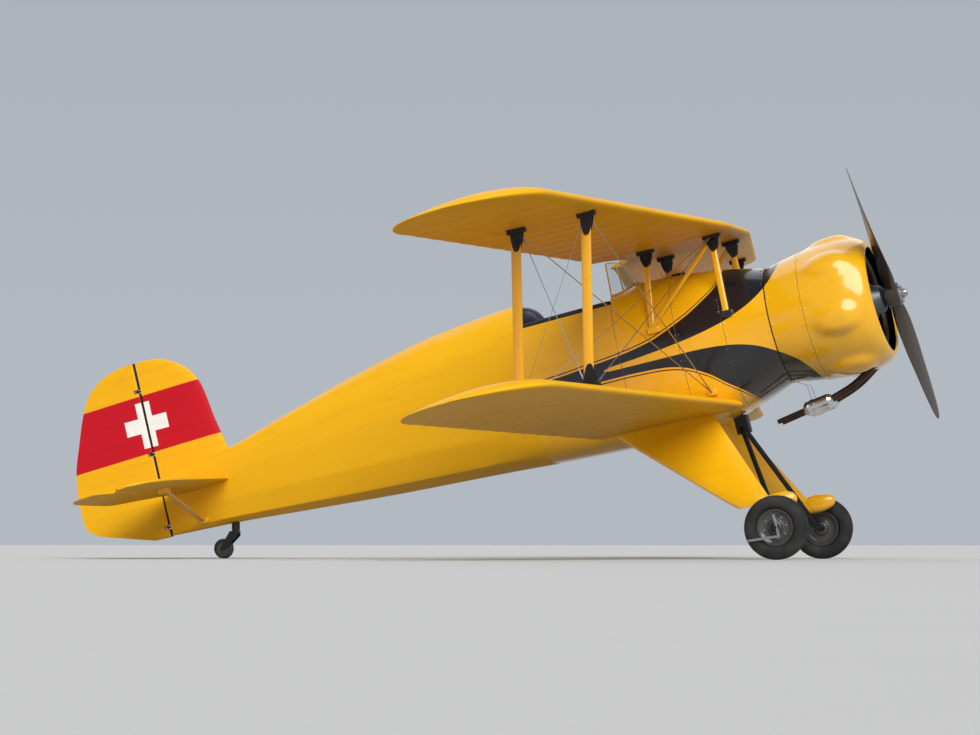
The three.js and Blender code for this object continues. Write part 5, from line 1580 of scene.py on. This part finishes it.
roll_z = SILL + 0.0153
front_x, back_x = PANEL_FRAME - 0.0156, SEAT_FRAME + 0.0006
half_line = [(x, sill_edge(x), roll_z) for x in np.linspace(back_x, front_x - 0.045, 14)]
corner = sill_edge(front_x)
half_line += [(front_x - 0.020, corner - 0.006, roll_z), (front_x, corner - 0.045, roll_z)]
roll_line = smooth_line([*half_line, *[(x, -y, z) for x, y, z in half_line[::-1]]], 4)
steps = np.arange(len(roll_line))
wrinkle = 1 + 0.03 * np.sin(steps * 1.7) * np.sin(steps * 0.53)
roll = add_piece("sill_roll", tube(roll_line, 0.0147 * wrinkle, 24), leather, "cockpit_coaming",
                 soft=60)
print("sill roll is", round(float(np.linalg.norm(np.diff(roll_line, axis=0), axis=1).sum()), 2), "m long")

# %% Headrest
def pad_rings(rows, points=48):
    rings = []
    for ahead, half, low, high in rows:
        angle = full_turn(points, 0.5) - np.pi / 2
        c, s = np.cos(angle), np.sin(angle)
        middle, reach = (low + high) / 2, (high - low) / 2
        rings.append(np.stack([np.full(points, SEAT_FRAME + ahead), half * np.sign(c) * np.abs(c)**0.62,
                               middle + reach * np.sign(s) * np.abs(s)**0.62], 1))
    return loft(rings)


def inflate(piece, voxel, cap, pressure=4.0, frames=20):
    """Blows a closed pad up by a cloth simulation, and limits how far each point may go."""
    remesh = piece.modifiers.new("remesh", "REMESH")
    remesh.mode, remesh.voxel_size = "VOXEL", voxel
    piece.data = baked(piece, remesh)
    start = np.array([vertex.co for vertex in piece.data.vertices])
    cloth = piece.modifiers.new("cloth", "CLOTH")
    cloth.settings.use_pressure = True
    cloth.settings.uniform_pressure_force = pressure
    cloth.settings.effector_weights.gravity = 0
    scene = bpy.context.scene
    for moment in range(1, frames + 1):
        scene.frame_set(moment)
    blown = baked(piece, cloth)
    scene.frame_set(1)
    moved = np.array([vertex.co for vertex in blown.vertices]) - start
    length = np.linalg.norm(moved, axis=1)[:, None]
    moved *= np.minimum(1, cap / np.maximum(length, 1e-9))
    blown.vertices.foreach_set("co", (start + moved).ravel())
    piece.data = blown
    piece.data.polygons.foreach_set("use_smooth", [True] * len(blown.polygons))
    return float(length.max())


pad_rows = []
for ahead in (0.003, 0.030, 0.058, 0.083, 0.103, 0.117, 0.124):
    round_off = math.sqrt(1 - (ahead / 0.130)**2)
    pad_rows.append((ahead, 0.072 + 0.028 * round_off, 0.419 - 0.005 * round_off, 0.419 + 0.145 * round_off))
pad = add_piece("headrest_pad", pad_rings(pad_rows), leather, "headrest", soft=60)
print("headrest swelled by", round(inflate(pad, 0.005, 0.006) * 1000, 1), "mm")
pad.modifiers.new("round", "SUBSURF").render_levels = 1

# %% [markdown]
# ### Windscreen
# A single sheet of acrylic is bent round the front of the cockpit. Its lower edge has to follow the curved
# deck exactly, so for each angle the height where the sheet meets the deck is found by halving an interval.
# Behind it the deck is cut down to a sloping shelf, painted black so that it doesn't dazzle.

# %% Windscreen
SCREEN_END, SCREEN_BASE, SCREEN_TOP = -1.824, 0.430, 0.690
AT_BASE, LESS_AT_TOP = np.array([0.215, 0.205]), np.array([0.155, 0.050])
SHELF_HEIGHT, SHELF_SLOPE = 0.428, 0.57


def screen_point(angle, z, outset=0.0):
    up = (z - SCREEN_BASE) / (SCREEN_TOP - SCREEN_BASE)
    length, half = AT_BASE - LESS_AT_TOP * up + outset
    return np.array([SCREEN_END + length * math.cos(angle), half * math.sin(angle), z])


def screen_foot(angle):
    low, high = 0.36, SCREEN_TOP
    for _ in range(30):
        middle = (low + high) / 2
        x, y, z = screen_point(angle, middle)
        low, high = (middle, high) if deck_height(x, y) > middle else (low, middle)
    return high


angles = np.linspace(-math.pi / 2, math.pi / 2, 41)
plan = [screen_point(angle, 0.5, -0.010)[:2] for angle in angles]
plan += [(PANEL_FRAME - 0.03, y) for y in (plan[-1][1], plan[0][1])]
shelf = [(x, y, SHELF_HEIGHT + SHELF_SLOPE * (x - PANEL_FRAME)) for x, y in plan]
carve(nose, loft([shelf, [(x, y, 0.9) for x, y in plan]]))
repaint(nose, panel_black, lambda centre, normal: centre.x < -1.6 and abs(centre.y) < 0.19 and (
    within_hull(centre, -0.002)))
sheet = []
for angle in angles:
    bottom = screen_foot(angle) + 0.003
    sheet.append([screen_point(angle, z) for z in np.linspace(bottom, SCREEN_TOP - 0.004, 9)])
sheet = np.array(sheet)
outer = [[screen_point(angle, point[2], 0.0015) for point in row] for angle, row in zip(angles, sheet)]
inner = [[screen_point(angle, point[2], -0.0015) for point in row] for angle, row in zip(angles, sheet)]
glass = loft([[*a, *b[::-1]] for a, b in zip(outer, inner)])
add_piece("windscreen_sheet", glass, acrylic, "windscreen_glass", soft=50)
edges = [tube(sheet[:, 0], 0.0058, 14, flat=0.7), tube(sheet[:, -1], 0.0045, 14),
         tube(sheet[0], 0.0048, 14), tube(sheet[-1], 0.0048, 14)]
add_piece("windscreen_rim", together(*edges), enamel_plain, "windscreen_frame", soft=60)
print("windscreen is", round(float(SCREEN_TOP - sheet[20, 0, 2]), 3), "m high on the centre line")

# %% [markdown]
# ### Instruments
# The panel carries seven round instruments. Each dial has a raised black rim, a face set back in it, twelve
# plain marks and a needle.

# %% Dials
dial_black = plain_finish("black dial enamel", "#101113", 0.4, 2.0, 0.05, dusty=0.05)
dial_white = plain_finish("white dial paint", "#DDDACB", 0.6, 2.0, 0.05, dusty=0.1)
DIALS = [
    # out to the left, height, radius, where the needle points in degrees
    (0.125, 0.315, 0.041, 40), (0.0, 0.325, 0.041, -75), (-0.125, 0.315, 0.041, 120),
    (0.120, 0.212, 0.035, -20), (0.0, 0.222, 0.035, 160), (-0.120, 0.212, 0.035, 75),
    (0.0, 0.120, 0.030, -130),
]
rims, faces, marks = [], [], []
for y, z, radius, needle in DIALS:
    facing = move(PANEL_FRAME - 0.0143, y, z) @ Matrix.Rotation(math.pi, 4, "Z")
    rim = [(0, radius), (0.007, radius), (0.010, radius * 0.95), (0.010, radius * 0.89),
           (0.004, radius * 0.85), (0, radius * 0.85)]
    rims.append(placed(turned(rim, 40, around=True), facing))
    faces.append(placed(bar(0, 0.003, radius * 0.87, 40), facing))
    for k in range(12):
        mark = block((0.0028, -0.0009, radius * 0.66), (0.0035, 0.0009, radius * 0.80))
        marks.append(placed(mark, facing @ about_x(math.radians(30 * k))))
    hand = block((0.0034, -0.0013, -radius * 0.15), (0.0044, 0.0013, radius * 0.62))
    marks.append(placed(hand, facing @ about_x(math.radians(needle))))
add_piece("dial_rims", together(*rims), panel_black, soft=40)
add_piece("dial_faces", together(*faces), dial_black)
add_piece("dial_marks", together(*marks), dial_white)
print("dials:", len(DIALS))

# %% [markdown]
# ### Seat and harness
# A folded parachute serves as its cushion in flight, so the seat is a bare, deep bucket of sheet. Its
# edges are rolled over a wire. The harness is flat webbing, drawn as straps that lie on the seat: two come
# over the seat's back and two from its sides, and they meet at a steel buckle.

# %% Rolled seat edge and harness
edge_line = [(-2.070, 0.191, -0.085), (-2.070, 0.191, 0.045), (-2.092, 0.191, 0.061), (-2.250, 0.191, 0.061),
             (-2.405, 0.191, 0.062), (-2.431, 0.193, 0.095), (-2.431, 0.193, 0.300), (-2.431, 0.170, 0.331)]
edge_line = smooth_line([*edge_line, *[(x, -y, z) for x, y, z in edge_line[::-1]]], 6)
add_piece("seat_rolled_edge", tube(edge_line, 0.0105, 16), sheet_aluminium)
over = ribbon([(-2.496, 0.065, 0.300), (-2.462, 0.072, 0.338), (-2.430, 0.078, 0.3455),
               (-2.414, 0.082, 0.322), (-2.4155, 0.088, 0.180), (-2.4155, 0.088, 0.020),
               (-2.402, 0.080, -0.060), (-2.360, 0.062, -0.0865), (-2.262, 0.026, -0.0840)], (0, 1, 0))
lap = ribbon([(-2.360, 0.1795, 0.040), (-2.350, 0.1790, -0.020), (-2.330, 0.168, -0.068),
              (-2.300, 0.120, -0.0860), (-2.245, 0.028, -0.0830)], (1, 0, 0.2))
add_piece("harness_webbing", both_sides(together(over, lap)), webbing, soft=40)
button = turned([(0, 0), (0, 0.016), (0.004, 0.014), (0.004, 0)], 24)
button = placed(button, move(-2.254, 0, -0.0745) @ UPRIGHT)
buckle = together(block((-2.282, -0.034, -0.0835), (-2.226, 0.034, -0.0740)), button)
add_piece("harness_buckle", buckle, bright_steel, bevel=0.002)
print("each shoulder strap has", len(over[1]), "faces")

# %% [markdown]
# ## CAD pieces that keep their shape
# Some small pieces already have their right shape in the CAD model, so they only take a finish. A bevel
# modifier rounds their edges without changing their mesh.

# %% Finish the plain pieces
def refinish(node, material):
    piece = frame["nodes"][node]
    piece.data.materials.clear()
    piece.data.materials.append(material)
    piece.data.polygons.foreach_set("material_index", [0] * len(piece.data.polygons))
    round_edges(piece, 0.002)
    shade(piece, 32)


PLAIN_PIECES = {"seat": sheet_aluminium, "instrument_panel": panel_black, "control_stick": panel_black,
                "tail_leg": dark_steel, "tail_fork": dark_steel}
for node, material in PLAIN_PIECES.items():
    refinish(node, material)
print("refinished", len(PLAIN_PIECES), "CAD nodes")
